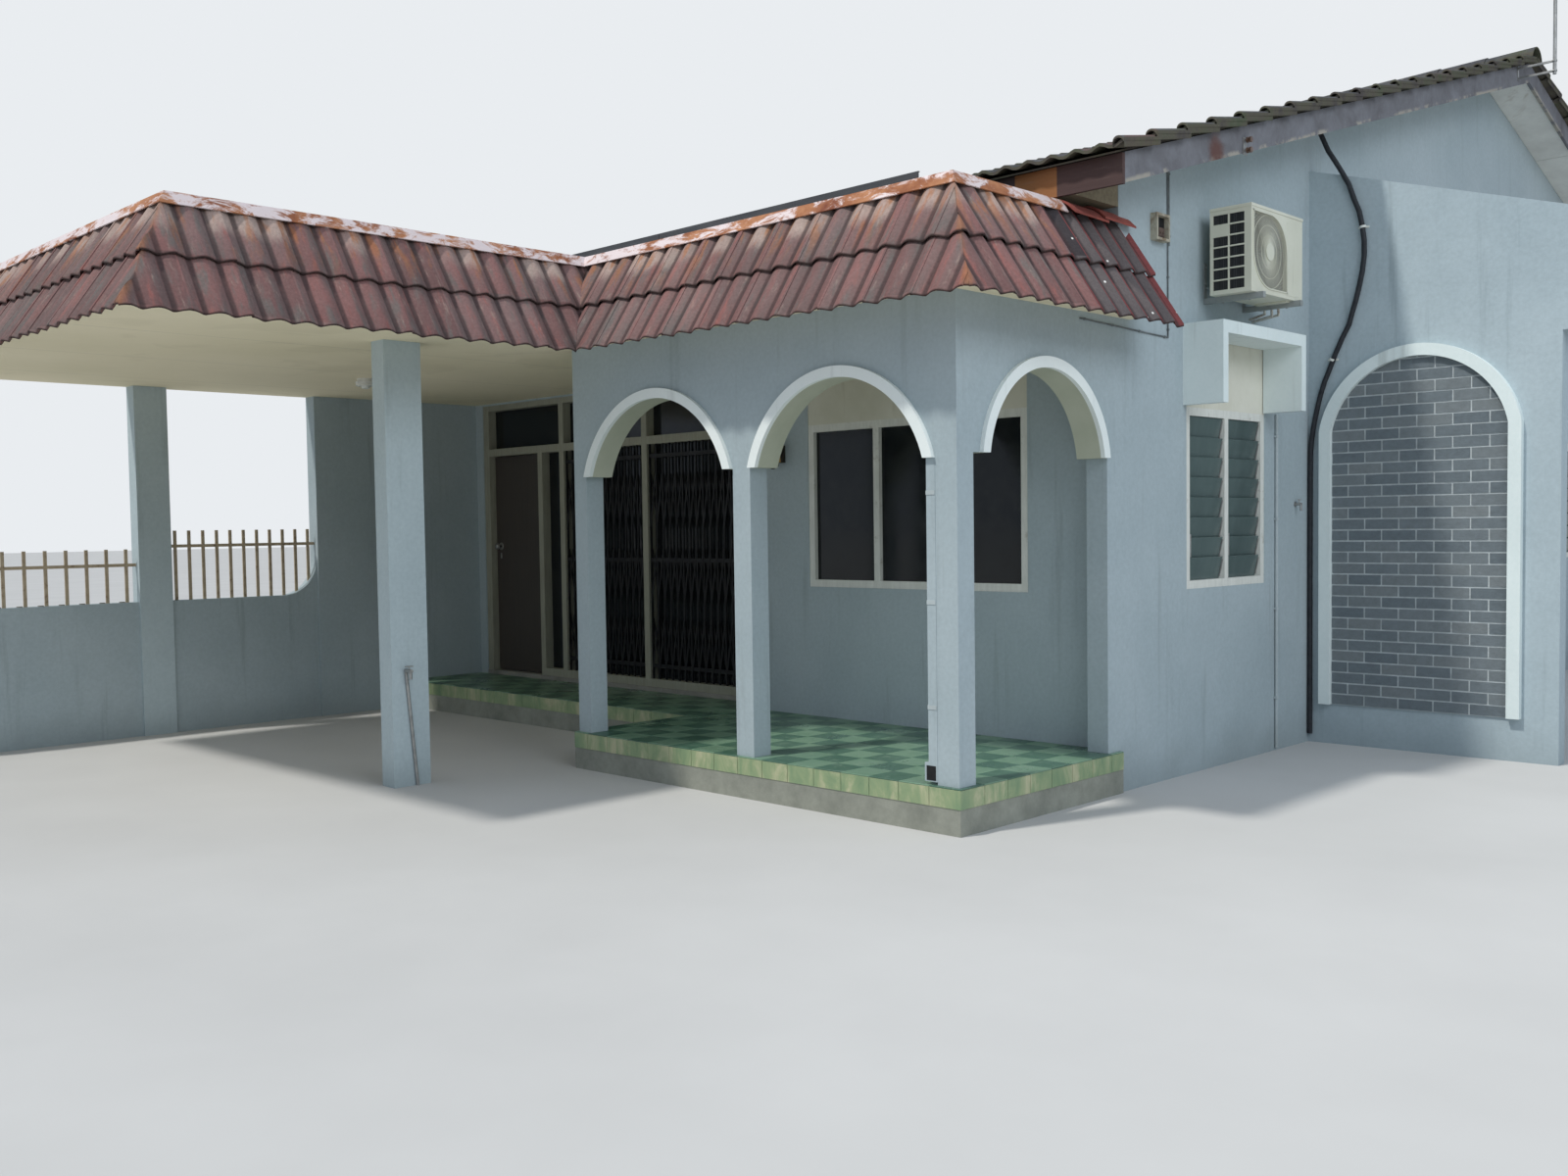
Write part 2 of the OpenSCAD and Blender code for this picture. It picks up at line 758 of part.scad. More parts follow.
module fascia_boards() {
    color("saddlebrown") for (side = [-1, 1]) {
        y0 = side > 0 ? eave_y - board_t : -eave_y;
        box([party_x, y0, board_z], [gable_x + verge, y0 + board_t, rafter(eave_y)]);
    }
}

module soffit_boards() {
    level = board_z + soffit_t;
    inner = eave_y - board_t;
    color("linen") {
        along_x(gable_x, gable_x + verge - board_t)
            slope_band(board_h - 2 * soffit_t, board_h - soffit_t, inner);
        box([party_x, rear_y, level], [gable_x, inner, level + soffit_t]);
        box([party_x, -inner, level], [gable_x, front_y, level + soffit_t]);
        box([party_x, front_y - eps, level], [bedroom_x, living_y, level + soffit_t]);
        // Boards that close the ends of both eaves beside the verge
        for (s = [-1, 1]) along_x(gable_x - soffit_t, gable_x)
            polygon([[s * inner, level], [s * rear_y, level],
                     [s * rear_y, rafter(rear_y) - board_h + 1.5 * soffit_t],
                     [s * inner, rafter(inner) - board_h + 1.5 * soffit_t]]);
    }
}

module eave_gutter() {
    base = board_z + 30;
    color("slategray") along_x(party_x, gable_x - gutter_stop) {
        translate([-eave_y - gutter_w, base]) square([gutter_w, gutter_t]);
        translate([-eave_y - gutter_w, base]) square([gutter_t, gutter_h]);
        translate([-eave_y - gutter_t, base]) square([gutter_t, board_h - 60]);
    }
}

module wing_wall() {
    color("lightsteelblue") along_y(wing_y, wing_y + wall_t) difference() {
        polygon([[gable_x, 0], [gable_x + wing_w, 0], [gable_x + wing_w, wing_h - wing_fall],
                 [gable_x, wing_h]]);
        translate([gable_x + gate_in, -eps]) square([gate_w, gate_h + eps]);
    }
}

// Round head a little wider than its legs, shrunk all round, with the foot at a height
module blind_outline(inset, foot) {
    half = blind_w / 2 - inset;
    centre = blind_top - blind_head_r;
    intersection() {
        translate([blind_x + blind_w / 2, centre]) {
            circle(blind_head_r - inset, $fn = 96);
            translate([-blind_w, foot - centre]) square([2 * blind_w, centre - foot]);
        }
        translate([blind_x + inset, foot]) square([2 * half, blind_top]);
    }
}

module blind_arch_trim() {
    color("whitesmoke") along_y(wing_y - blind_proud, wing_y) difference() {
        blind_outline(0, blind_low);
        blind_outline(blind_band, blind_low - eps);
    }
}

module brick_panel() {
    color("slategray") along_y(wing_y - brick_t, wing_y) blind_outline(blind_band + fit, blind_low);
}

module window_hoods() {
    color("whitesmoke") for (y = louvre_y) {
        y0 = y - fin_past;
        y1 = y + louvre_w + fin_past;
        box([gable_x, y0, hood_low], [gable_x + hood_out, y0 + fin_t, hood_top]);
        box([gable_x, y1 - fin_t, hood_low], [gable_x + hood_out, y1, hood_top]);
        box([gable_x, y0 + fin_t, hood_top - hood_t],
            [gable_x + hood_out, y1 - fin_t, hood_top]);
    }
}

// Upright window frame as wide as w, with its uprights at the given places
module frame_sheet(w, bars) {
    h = head_h - sill_h;
    square([w, frame_w]);
    translate([0, h - frame_w]) square([w, frame_w]);
    for (x = concat([0, w - frame_w], bars)) translate([x, 0]) square([frame_w, h]);
}

function thirds(w) = [for (i = [1, 2]) i * (w - frame_w) / 3];

module bedroom_frame(x, y) {
    translate([x, 0, sill_h]) along_y(y, y + frame_d) frame_sheet(window_w, thirds(window_w));
}

module window_frames() {
    color("whitesmoke") {
        bedroom_frame(window_x, front_y + frame_set);
        for (x = rear_windows) bedroom_frame(x, rear_y - frame_set - frame_d);
        for (y = louvre_y)
            translate([0, y, sill_h])
                along_x(gable_x - frame_set - frame_d, gable_x - frame_set)
                    frame_sheet(louvre_w, [(louvre_w - frame_w) / 2]);
    }
}

module bedroom_panes(x, y) {
    light = (window_w - frame_w) / 3 - frame_w;
    for (i = [0, 1, 2]) {
        x0 = x + frame_w + i * (light + frame_w);
        box([x0 + fit, y, sill_h + frame_w], [x0 + light - fit, y + glass_t, head_h - frame_w]);
    }
}

module window_glass() {
    pane_y = entrance_y + door_frame_d - 20;
    above = transom_h + door_frame_w;
    color("darkslategray") {
        bedroom_panes(window_x, front_y + frame_set + frame_d / 2);
        for (x = rear_windows) bedroom_panes(x, rear_y - frame_set - frame_d / 2);
        for (s = [[doorway_x0, sidelight_x1], [bay_x0, bay_x0 + bay_w],
                  [bay_x1, bay_x1 + bay_w]])
            box([s.x, pane_y, above], [s.y, pane_y + glass_t, entrance_top - frame_w]);
        for (s = [[sidelight_x0, sidelight_x1], [bay_x0, bay_x0 + bay_w],
                  [bay_x1, bay_x1 + bay_w]])
            box([s.x, pane_y, floor_h + door_frame_w], [s.y, pane_y + glass_t, transom_h]);
    }
}

module louvre_blades() {
    light = (louvre_w - 3 * frame_w) / 2;
    low = sill_h + frame_w + blade_w / 2;
    step = (head_h - sill_h - 2 * frame_w - blade_w) / (blade_n - 1);
    x = gable_x - frame_set - frame_d / 2;
    color("cadetblue") for (y = louvre_y, i = [0, 1], k = [0:blade_n - 1])
        translate([x, y + frame_w + fit + i * (light + frame_w), low + k * step])
            rotate([0, blade_tilt, 0]) translate([-glass_t / 2, 0, -blade_w / 2])
                cube([glass_t, light - 2 * fit, blade_w]);
}

module window_panels() {
    color("linen") {
        box([window_x, front_y + frame_set, head_h],
            [window_x + window_w, front_y + frame_set + 40, panel_top]);
        for (x = rear_windows)
            box([x, rear_y - frame_set - 40, head_h],
                [x + window_w, rear_y - frame_set, panel_top]);
        for (y = louvre_y)
            box([gable_x - frame_set - 40, y, head_h],
                [gable_x - frame_set, y + louvre_w, panel_top]);
    }
}

module entrance_frame() {
    color("rosybrown")
        along_y(entrance_y, entrance_y + door_frame_d) {
            translate([entrance_x0, entrance_top - frame_w]) square([entrance_w, frame_w]);
            translate([entrance_x0, transom_h]) square([entrance_w, door_frame_w]);
            translate([sidelight_x0, floor_h])
                square([entrance_x1 - sidelight_x0, door_frame_w]);
            for (x = [sidelight_x1, bay_x0 + bay_w, entrance_x1 - door_frame_w])
                translate([x, floor_h]) square([door_frame_w, entrance_top - floor_h]);
            translate([entrance_x0, floor_h])
                square([doorway_x0 - entrance_x0, entrance_top - floor_h]);
            translate([doorway_x1, floor_h]) square([door_frame_w, transom_h - floor_h]);
        }
    for (z = hinge_z) color("silver") {
        for (dz = [-hinge_l / 2, hinge_l / 6])
            hinge_knuckle(z + dz, hinge_l / 3, 1);
        translate([hinge_x, hinge_y, z - hinge_l / 2]) cylinder(h = hinge_l, r = pin_r);
    }
}

// One knuckle of a butt hinge with the flap that fixes it to the frame or the leaf
module hinge_knuckle(z, h, side) {
    face = door_y + door_t;
    x0 = side > 0 ? hinge_x : hinge_x - 35;
    translate([hinge_x, hinge_y, z]) cylinder(h = h, r = knuckle_r);
    box([x0, face - 1, z], [x0 + 35, hinge_y, z + h]);
}

// Flush timber leaf hung on its right edge, opening inwards, with a knob on both sides
module entrance_door() {
    middle = hinge_l / 3 - 2 * run_fit;
    color("silver") difference() {
        for (z = hinge_z) hinge_knuckle(z - middle / 2, middle, -1);
        translate([hinge_x, hinge_y, floor_h])
            cylinder(h = transom_h - floor_h, r = pin_r + run_fit);
    }
    color("saddlebrown") {
        box([doorway_x0 + door_gap, door_y, floor_h + door_gap],
            [doorway_x1 - door_gap, door_y + door_t, transom_h - door_gap]);
        translate([doorway_x0 + door_gap + 65, 0, knob_h]) rotate([-90, 0, 0]) {
            translate([0, 0, door_y - 30]) cylinder(h = door_t + 60, r = 9);
            translate([0, 0, door_y - 50]) cylinder(h = 22, r = 26);
            translate([0, 0, door_y + door_t + 28]) cylinder(h = 22, r = 26);
        }
    }
}

module folding_grilles() {
    y = entrance_y + 20;
    low = floor_h + door_frame_w;
    color("black") for (x = [bay_x0, bay_x1]) {
        n = floor(bay_w / bar_pitch);
        for (i = [0:n])
            translate([x + lerp(bar_s / 2, bay_w - bar_s / 2, i / n) - bar_s / 2, y, low])
                cube([bar_s, bar_s, transom_h - low]);
        for (z = [low + 90, (low + transom_h) / 2, transom_h - 110])
            translate([x, y, z]) cube([bay_w, bar_s, 30]);
    }
}

// Outline of the fan guard: a circle with two opposite corners filled out
module guard_outline(r) {
    circle(r);
    translate([-r, 0]) square(r);
    translate([0, -r]) square(r);
}

module cooling_unit() {
    guard_r = unit_h * 0.43;
    fan_y = unit_y + unit_w * 0.04 + guard_r;
    fan_z = unit_low + unit_h / 2;
    face = unit_x + unit_d;
    cell = [unit_d * 0.36, unit_h * 0.89 / 7];
    color("ivory") {
        difference() {
            box([unit_x, unit_y, unit_low], [face, unit_y + unit_w, unit_low + unit_h]);
            translate([0, fan_y, fan_z]) along_x(face - 25, face + 1) guard_outline(guard_r);
            for (i = [0, 1], k = [0:6]) if (i > 0 || k != 5)
                translate([unit_x + 20 + i * (cell.x + 10), unit_y - eps,
                           unit_low + unit_h * 0.05 + k * cell.y])
                    cube([cell.x, 9 + eps, cell.y - 9]);
        }
        translate([0, fan_y, fan_z]) along_x(face - 26, face - 4) circle(guard_r * 0.2);
    }
}

module unit_bracket() {
    color("gray") for (y = [unit_y + 70, unit_y + unit_w - 110]) {
        box([gable_x, y, unit_low - angle_s], [gable_x + 6, y + angle_s, unit_low + 215]);
        box([gable_x, y, unit_low - angle_s],
            [gable_x + unit_gap + unit_d + 40, y + angle_s, unit_low]);
    }
}

module meter_box() {
    y = front_y + meter_back;
    z = skirt_top.y - 46;
    color("tan") difference() {
        box([gable_x, y, z], [gable_x + meter_out, y + meter_w, z + meter_h]);
        box([gable_x + meter_out / 4, y + 15, z + 15],
            [gable_x + meter_out + eps, y + meter_w - 15, z + meter_h - 15]);
    }
}

// Route of the water pipe down the wing wall from the verge soffit to the inner corner,
// as distances from the gable side and heights, for a pipe that starts 4180 mm up
pipe_route = [
    [66, 4180], [119, 4054], [168, 3972], [214, 3892], [261, 3802], [298, 3694],
    [331, 3611], [353, 3509], [366, 3409], [366, 3311], [355, 3215], [335, 3119],
    [312, 3023], [283, 2928], [266, 2864], [220, 2778], [173, 2675], [132, 2571],
    [98, 2490], [72, 2409], [51, 2327], [33, 2244], [19, 2170], [9, 2095],
    [3, 2020], [1, 1930], [0, 1800], [0, 1400], [0, 900], [0, 60]
];

// A round tube swept along a list of points, with flat ends
module tube(route, r, sides) {
    n = len(route);
    rings = [for (i = [0:n - 1])
        let(a = route[max(i - 1, 0)], b = route[min(i + 1, n - 1)],
            d = (b - a) / norm(b - a),
            u0 = cross(d, [0, 1, 0]), u = u0 / norm(u0), v = cross(d, u))
        for (k = [0:sides - 1])
            route[i] + r * (cos(360 * k / sides) * u + sin(360 * k / sides) * v)];
    skin = [for (i = [0:n - 2], k = [0:sides - 1])
        let(j = (k + 1) % sides)
        [i * sides + j, i * sides + k, (i + 1) * sides + k, (i + 1) * sides + j]];
    caps = [[for (k = [0:sides - 1]) k],
            [for (k = [sides - 1:-1:0]) (n - 1) * sides + k]];
    polyhedron(rings, concat(skin, caps), convexity = 6);
}

module water_pipe() {
    top = rafter(wing_y - pipe_r) - board_h - 4;
    scale = top / pipe_route[0].y;
    color("black") translate([gable_x + pipe_r + 3, wing_y - pipe_r - fit, 0])
        tube([for (p = pipe_route) [scale * p.x, 0, scale * p.y]], pipe_r, 12);
}

module downpipe() {
    x = gable_x - corner_pier_w - fit;
    color("lightsteelblue") {
        box([x - downpipe_w, porch_y - 2, porch_floor_h + 110],
            [x, porch_y - 2 + downpipe_w, spring_h]);
        box([x - downpipe_w - 25, porch_y - 2, porch_floor_h + 15],
            [x, porch_y - 2 + downpipe_w, porch_floor_h + 110]);
    }
}

// A six-sided lantern on the bedroom wall and a round lamp under the car porch slab
module porch_lamps() {
    x = bedroom_x + lantern_in;
    y = front_y - 1.5 * lantern_r;
    z = lantern_h;
    r = lantern_r;
    color("whitesmoke")
        translate([gable_x - lamp_in, porch_y - lamp_out, soffit_h - 0.75 * lamp_r]) {
            cylinder(h = 0.4 * lamp_r, r1 = 0.75 * lamp_r, r2 = lamp_r);
            translate([0, 0, 0.4 * lamp_r]) cylinder(h = 0.35 * lamp_r, r = 0.82 * lamp_r);
        }
    color("black") {
        box([x - 0.6 * r, front_y - 0.2 * r, z - r], [x + 0.6 * r, front_y, z + r]);
        box([x - 0.13 * r, y, z + 0.5 * r], [x + 0.13 * r, front_y - 0.1 * r, z + 0.77 * r]);
        translate([x, y, z - 1.5 * r]) cylinder(h = 2.33 * r, r1 = 0.7 * r, r2 = r, $fn = 6);
        translate([x, y, z + 0.82 * r])
            cylinder(h = 0.67 * r, r1 = 1.2 * r, r2 = 0.33 * r, $fn = 6);
    }
}

// Leaning riser on the column's side, with a bib tap on top
module column_tap() {
    r = tap_r;
    color("silver") translate([gable_x - column_in, column_y + 0.36 * column_d, 0]) {
        intersection() {
            translate([r + fit, 0, tap_h]) rotate([tap_lean, 0, 0])
                translate([0, 0, -1.1 * tap_h]) cylinder(h = 1.1 * tap_h, r = r);
            translate([0, -tap_h, 0]) cube(2 * tap_h);
        }
        translate([r, 0, tap_h - r]) rotate([0, 90, 0]) cylinder(h = 6.6 * r, r = 1.2 * r);
        translate([6.5 * r, 0, tap_h - 6 * r]) cylinder(h = 5 * r, r = r);
        translate([5 * r, 0, tap_h - r]) cylinder(h = 2.6 * r, r = 0.4 * r);
        translate([4.4 * r, -2.5 * r, tap_h + 1.4 * r]) cube([1.2 * r, 5 * r, 0.8 * r]);
    }
}

module aerial_mast() {
    x = gable_x + verge + mast_out;
    y = -mast_in;
    color("silver") {
        translate([x, y, ridge_h - 220]) cylinder(h = mast_h, r = mast_r);
        box([gable_x + verge, y - 15, ridge_h - 210], [gable_x + verge + 5, y + 15, ridge_h - 95]);
        for (z = [ridge_h - 200, ridge_h - 120])
            box([gable_x + verge, y - 8, z], [x, y + 8, z + 16]);
    }
}

house_floor();
porch_floor();
gable_wall();
party_wall();
rear_wall();
bedroom_wall();
living_wall_piers();
living_wall_lintel();
porch_front_wall();
porch_side_wall();
porch_piers();
arch_trims();
flat_roof_slab();
roof_kerb();
tile_skirt();
cap_flashing();
carport_columns();
fence_wall();
fence_railing();
main_roof_front();
main_roof_rear();
ridge_tiles();
barge_boards();
fascia_boards();
soffit_boards();
eave_gutter();
wing_wall();
blind_arch_trim();
brick_panel();
window_hoods();
window_frames();
window_glass();
louvre_blades();
window_panels();
entrance_frame();
entrance_door();
folding_grilles();
cooling_unit();
unit_bracket();
meter_box();
water_pipe();
downpipe();
porch_lamps();
column_tap();
aerial_mast();
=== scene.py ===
import random
from math import atan2, ceil, cos, floor, pi, radians, sin, sqrt, tan

import bmesh
import bpy
from mathutils import Matrix, Vector


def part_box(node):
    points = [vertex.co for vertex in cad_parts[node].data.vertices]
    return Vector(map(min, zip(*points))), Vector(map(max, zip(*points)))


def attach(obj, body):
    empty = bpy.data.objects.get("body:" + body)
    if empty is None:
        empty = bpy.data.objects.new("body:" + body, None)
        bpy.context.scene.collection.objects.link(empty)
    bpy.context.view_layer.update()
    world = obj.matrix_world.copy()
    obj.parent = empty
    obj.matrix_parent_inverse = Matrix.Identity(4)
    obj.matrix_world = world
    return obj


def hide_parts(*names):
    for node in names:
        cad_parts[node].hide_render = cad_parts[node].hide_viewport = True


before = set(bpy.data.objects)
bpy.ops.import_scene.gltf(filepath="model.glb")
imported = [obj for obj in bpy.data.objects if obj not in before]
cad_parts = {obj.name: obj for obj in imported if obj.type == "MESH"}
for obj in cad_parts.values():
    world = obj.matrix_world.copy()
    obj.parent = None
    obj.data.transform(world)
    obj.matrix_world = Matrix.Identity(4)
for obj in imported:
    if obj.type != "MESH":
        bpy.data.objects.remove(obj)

random.seed(7)
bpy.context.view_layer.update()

# Camera
# The photo is taken from the right of the plot, about 1.55 m up, along the diagonal of the porch.
# Place, turn and lens come from the solved photograph, with no shift.
scene = bpy.context.scene
yaw, pitch, roll = radians(44.567), radians(2.5), radians(-0.816)
ahead = Vector((-sin(yaw) * cos(pitch), cos(yaw) * cos(pitch), -sin(pitch)))
level = Vector((cos(yaw), sin(yaw), 0))
upright = level.cross(ahead)
right = cos(roll) * level + sin(roll) * upright
up = cos(roll) * upright - sin(roll) * level
camera = bpy.data.objects.new("camera", bpy.data.cameras.new("camera"))
camera.data.lens = 32.04
camera.data.sensor_width = 36
camera.data.clip_end = 400
camera.matrix_world = Matrix.Translation((7.7247, -13.0509, 1.5495)) @ Matrix(
    (right, up, -ahead)).transposed().to_4x4()
scene.collection.objects.link(camera)
scene.camera = camera


# Light
# A high soft light stands in front and a little to the left, as the shadow on the wing wall shows,
# and a wide one at the right. A pale world lights the shade, and the camera sees a plain backdrop.
def add_light(name, kind, energy, colour, aim):
    made = bpy.data.objects.new(name, bpy.data.lights.new(name, kind))
    made.data.energy = energy
    made.data.color = colour
    made.rotation_euler = Vector(aim).to_track_quat("-Z", "Y").to_euler()
    scene.collection.objects.link(made)
    return made


lamp = add_light("key_light", "SUN", 2.3, (1.0, 0.965, 0.91), (0.3, 0.92, -1.45))
lamp.data.angle = radians(4)
fill = add_light("side_light", "AREA", 560, (0.9, 0.95, 1.0), (-1.0, 0.35, -0.55))
fill.location = (14.0, -9.0, 8.5)
fill.data.shape = "RECTANGLE"
fill.data.size, fill.data.size_y = 9, 6
world = bpy.data.worlds.new("studio_world")
scene.world = world
world.use_nodes = True
tree = world.node_tree
shade, backdrop = tree.nodes["Background"], tree.nodes.new("ShaderNodeBackground")
for glow, colour, strength in (
        (shade, (0.76, 0.86, 1.0, 1), 0.61), (backdrop, (0.86, 0.89, 0.92, 1), 0.95)):
    glow.inputs["Color"].default_value = colour
    glow.inputs["Strength"].default_value = strength
path = tree.nodes.new("ShaderNodeLightPath")
either = tree.nodes.new("ShaderNodeMixShader")
tree.links.new(path.outputs["Is Camera Ray"], either.inputs[0])
tree.links.new(shade.outputs[0], either.inputs[1])
tree.links.new(backdrop.outputs[0], either.inputs[2])
tree.links.new(either.outputs[0], tree.nodes["World Output"].inputs["Surface"])
scene.view_settings.view_transform = "Standard"


# Floor
# One wide pale floor lies under the whole house, with the faint mottle of a studio floor. It is
# no piece of the house.
def shader(m):
    return m.node_tree.nodes["Principled BSDF"]


def material(name, rough=0.8, metal=0.0, gloss=0.3):
    m = bpy.data.materials.new(name)
    m.use_nodes = True
    shader(m).inputs["Roughness"].default_value = rough
    shader(m).inputs["Metallic"].default_value = metal
    shader(m).inputs["Specular IOR Level"].default_value = gloss
    return m


def feed(m, socket, value):
    """Gives a socket a number, a colour or another node's output."""
    if isinstance(value, bpy.types.NodeSocket):
        m.node_tree.links.new(value, socket)
    elif isinstance(value, tuple) and len(value) < len(socket.default_value):
        socket.default_value = (*value, 1)
    else:
        socket.default_value = value


def node(m, kind, inputs, **settings):
    made = m.node_tree.nodes.new("ShaderNode" + kind)
    for key, value in settings.items():
        setattr(made, key, value)
    for key, value in inputs.items():
        feed(m, made.inputs[key], value)
    return made


def place(m, scale=(1, 1, 1), shift=(0, 0, 0), turn=(0, 0, 0)):
    """Object coordinates in metres, scaled, moved and turned."""
    coords = node(m, "TexCoord", {}).outputs["Object"]
    return node(
        m, "Mapping",
        {"Vector": coords, "Scale": scale, "Location": shift, "Rotation": turn}).outputs["Vector"]


def noise(m, scale, detail=4.0, rough=0.55, twist=0.0, stretch=(1, 1, 1), shift=(0, 0, 0)):
    return node(m, "TexNoise", {"Vector": place(m, stretch, shift), "Scale": scale, "Detail": detail,
                                "Roughness": rough, "Distortion": twist}).outputs["Fac"]


def ramp(m, fac, *stops, kind="LINEAR"):
    """Colours or grey levels at positions along fac; two without positions sit at 0.3 and 0.7."""
    made = node(m, "ValToRGB", {"Fac": fac})
    made.color_ramp.interpolation = kind
    if len(stops) == 2 and not (isinstance(stops[0], tuple) and len(stops[0]) == 2):
        stops = tuple(zip((0.3, 0.7), stops))
    spots = made.color_ramp.elements
    while len(spots) < len(stops):
        spots.new(1.0)
    for spot, (at, value) in zip(spots, stops):
        spot.position = at
        spot.color = (*value, 1) if isinstance(value, tuple) else (value, value, value, 1)
    return made.outputs["Color"]


def finish(m, colour, rough=None):
    feed(m, shader(m).inputs["Base Color"], colour)
    if rough is not None:
        feed(m, shader(m).inputs["Roughness"], rough)
    return m


m = material("pale_floor", 0.9, 0, 0.1)
finish(m, ramp(m, noise(m, 0.7), (0.5, 0.5, 0.49), (0.54, 0.54, 0.53)))
bm = bmesh.new()
bmesh.ops.create_grid(bm, x_segments=8, y_segments=8, size=150)
mesh = bpy.data.meshes.new("floor")
bm.to_mesh(mesh)
bm.free()
mesh.materials.append(m)
studio_floor = bpy.data.objects.new("floor", mesh)
scene.collection.objects.link(studio_floor)


# Painted walls
# Brick walls with cement render under a pale blue-grey emulsion: trowel waves, fine sand, rain
# streaks under the edges, a damp band at the foot and patches of touched-up paint.
def mix(m, fac, a, b, kind="MIX"):
    return node(m, "Mix", {0: fac, 6: a, 7: b}, data_type="RGBA", blend_type=kind).outputs[2]


def calc(m, kind, a, b=0.0):
    return node(m, "Math", {0: a, 1: b}, operation=kind).outputs[0]


def times(m, a, b):
    return calc(m, "MULTIPLY", a, b)


def plus(m, a, b):
    return calc(m, "ADD", a, b)


def axis_of(m, axis, scale=1.0, shift=0.0):
    """One object coordinate as a number."""
    coords = node(m, "TexCoord", {}).outputs["Object"]
    split = node(m, "SeparateXYZ", {0: coords})
    return plus(m, times(m, split.outputs[axis], scale), shift)


def band(m, value, low, high):
    """0 at low, 1 at high, smooth between."""
    return node(m, "MapRange", {"Value": value, "From Min": low, "From Max": high},
                interpolation_type="SMOOTHSTEP").outputs["Result"]


def tint(m, tone, mask, share, colour):
    """Lays colour over tone where mask is 1, with share of its strength."""
    return mix(m, times(m, mask, share), tone, colour)


def relief(m, height, strength, depth):
    bump = node(m, "Bump", {"Height": height, "Strength": strength, "Distance": depth})
    feed(m, shader(m).inputs["Normal"], bump.outputs["Normal"])


def render_coat(name, light, dark, damp, depth=0.004):
    m = material(name, 0.82, 0, 0.25)
    tone = ramp(m, noise(m, 0.9, 6, 0.6), (0.32, dark), (0.68, light))
    sand = noise(m, 42, 5, 0.6)
    tone = mix(m, 0.35, tone, ramp(m, sand, 0.42, 0.58), "OVERLAY")
    runs = noise(m, 1.6, 5, 0.65, 0, (5.5, 5.5, 0.35))
    tone = tint(m, tone, band(m, runs, 0.56, 0.74), 0.45, damp)
    foot = plus(m, axis_of(m, 2), times(m, noise(m, 2.2, 5), 0.5))
    tone = tint(m, tone, band(m, foot, 0.62, 0.16), 0.55, damp)
    patch = noise(m, 0.8, 2, 0.55, 0, (1, 1, 0.6), (3.1, 1.7, 0.4))
    tone = tint(m, tone, band(m, patch, 0.6, 0.64), 0.16, light)
    relief(m, plus(m, noise(m, 3.2, 4, 0.5), times(m, sand, 0.12)), 0.55, depth)
    return finish(m, tone, ramp(m, runs, 0.74, 0.9))


def dress(coat, *nodes):
    for name in nodes:
        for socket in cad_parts[name].material_slots:
            socket.material = coat


wall_coat = render_coat("wall_paint", (0.4, 0.47, 0.495), (0.335, 0.405, 0.43), (0.235, 0.275, 0.28))
dress(wall_coat, "gable_wall", "party_wall", "rear_wall", "bedroom_wall", "living_wall_piers",
      "living_wall_lintel", "porch_front_wall", "porch_side_wall", "porch_piers", "fence_wall")
# The columns take the wall paint made lighter: painted light, for the brightness they lack in the shade
# of the skirt.
dress(render_coat("column_paint_painted_light", (0.47, 0.555, 0.58), (0.4, 0.48, 0.505), (0.265, 0.31, 0.315)),
      "carport_columns")
dress(
    render_coat("wing_wall_paint", (0.42, 0.5, 0.535), (0.345, 0.42, 0.455), (0.22, 0.27, 0.29), 0.012),
    "wing_wall")
dress(render_coat("white_paint", (0.73, 0.81, 0.8), (0.63, 0.71, 0.705), (0.4, 0.44, 0.42)),
      "blind_arch_trim", "window_hoods")

# Porch arches
# The arches are lined with cement, proud of the wall by an inch. The raised ring in front is white,
# and the lining inside is painted a darker cream-green: painted shade under the arches.
gable_x, porch_y, film = 3.51, -7.55, 0.0015
m = render_coat("arch_lining", (0.84, 0.89, 0.87), (0.73, 0.79, 0.775), (0.44, 0.48, 0.46))
white = shader(m).inputs["Base Color"].links[0].from_socket
inside = times(m, calc(m, "GREATER_THAN", axis_of(m, 1), porch_y + film),
               calc(m, "LESS_THAN", axis_of(m, 0), gable_x - film))
# Painted shade: the faces inside the arch take a darker cream-green in place of the white.
lining_painted_shade = ramp(m, noise(m, 2.5, 6, 0.6), (0.4, 0.43, 0.33), (0.5, 0.52, 0.42))
dress(finish(m, mix(m, inside, white, lining_painted_shade)), "arch_trims")


# Concrete and soffits
# The flat roof is a cast slab, limewashed cream below with faint shutter joints and damp rings, and
# bare screed gone grey on top. Its kerb and the house's own floor are cement with lichen.
def facing(m, way):
    """1 where a face looks straight along way, -1 where it looks the other way."""
    normal = node(m, "TexCoord", {}).outputs["Normal"]
    return node(m, "VectorMath", {0: normal, 1: way}, operation="DOT_PRODUCT").outputs["Value"]


def mottled(name, surface, pattern, *stops, stain=None, bump=None, shine=None):
    """A coat with its stops over one noise; surface is its roughness, metal and gloss.

    stain is a second noise with its low, high, share and colour, bump one with its strength and
    depth, shine one with the roughness at its low and high spots.
    """
    m = material(name, *surface)
    tone = ramp(m, noise(m, *pattern), *stops)
    if stain:
        spots, low, high, share, colour = stain
        tone = tint(m, tone, band(m, noise(m, *spots), low, high), share, colour)
    if bump:
        relief(m, noise(m, *bump[0]), *bump[1:])
    if shine:
        spots, low, high = shine
        return finish(m, tone, ramp(m, noise(m, *spots), low, high))
    return finish(m, tone)


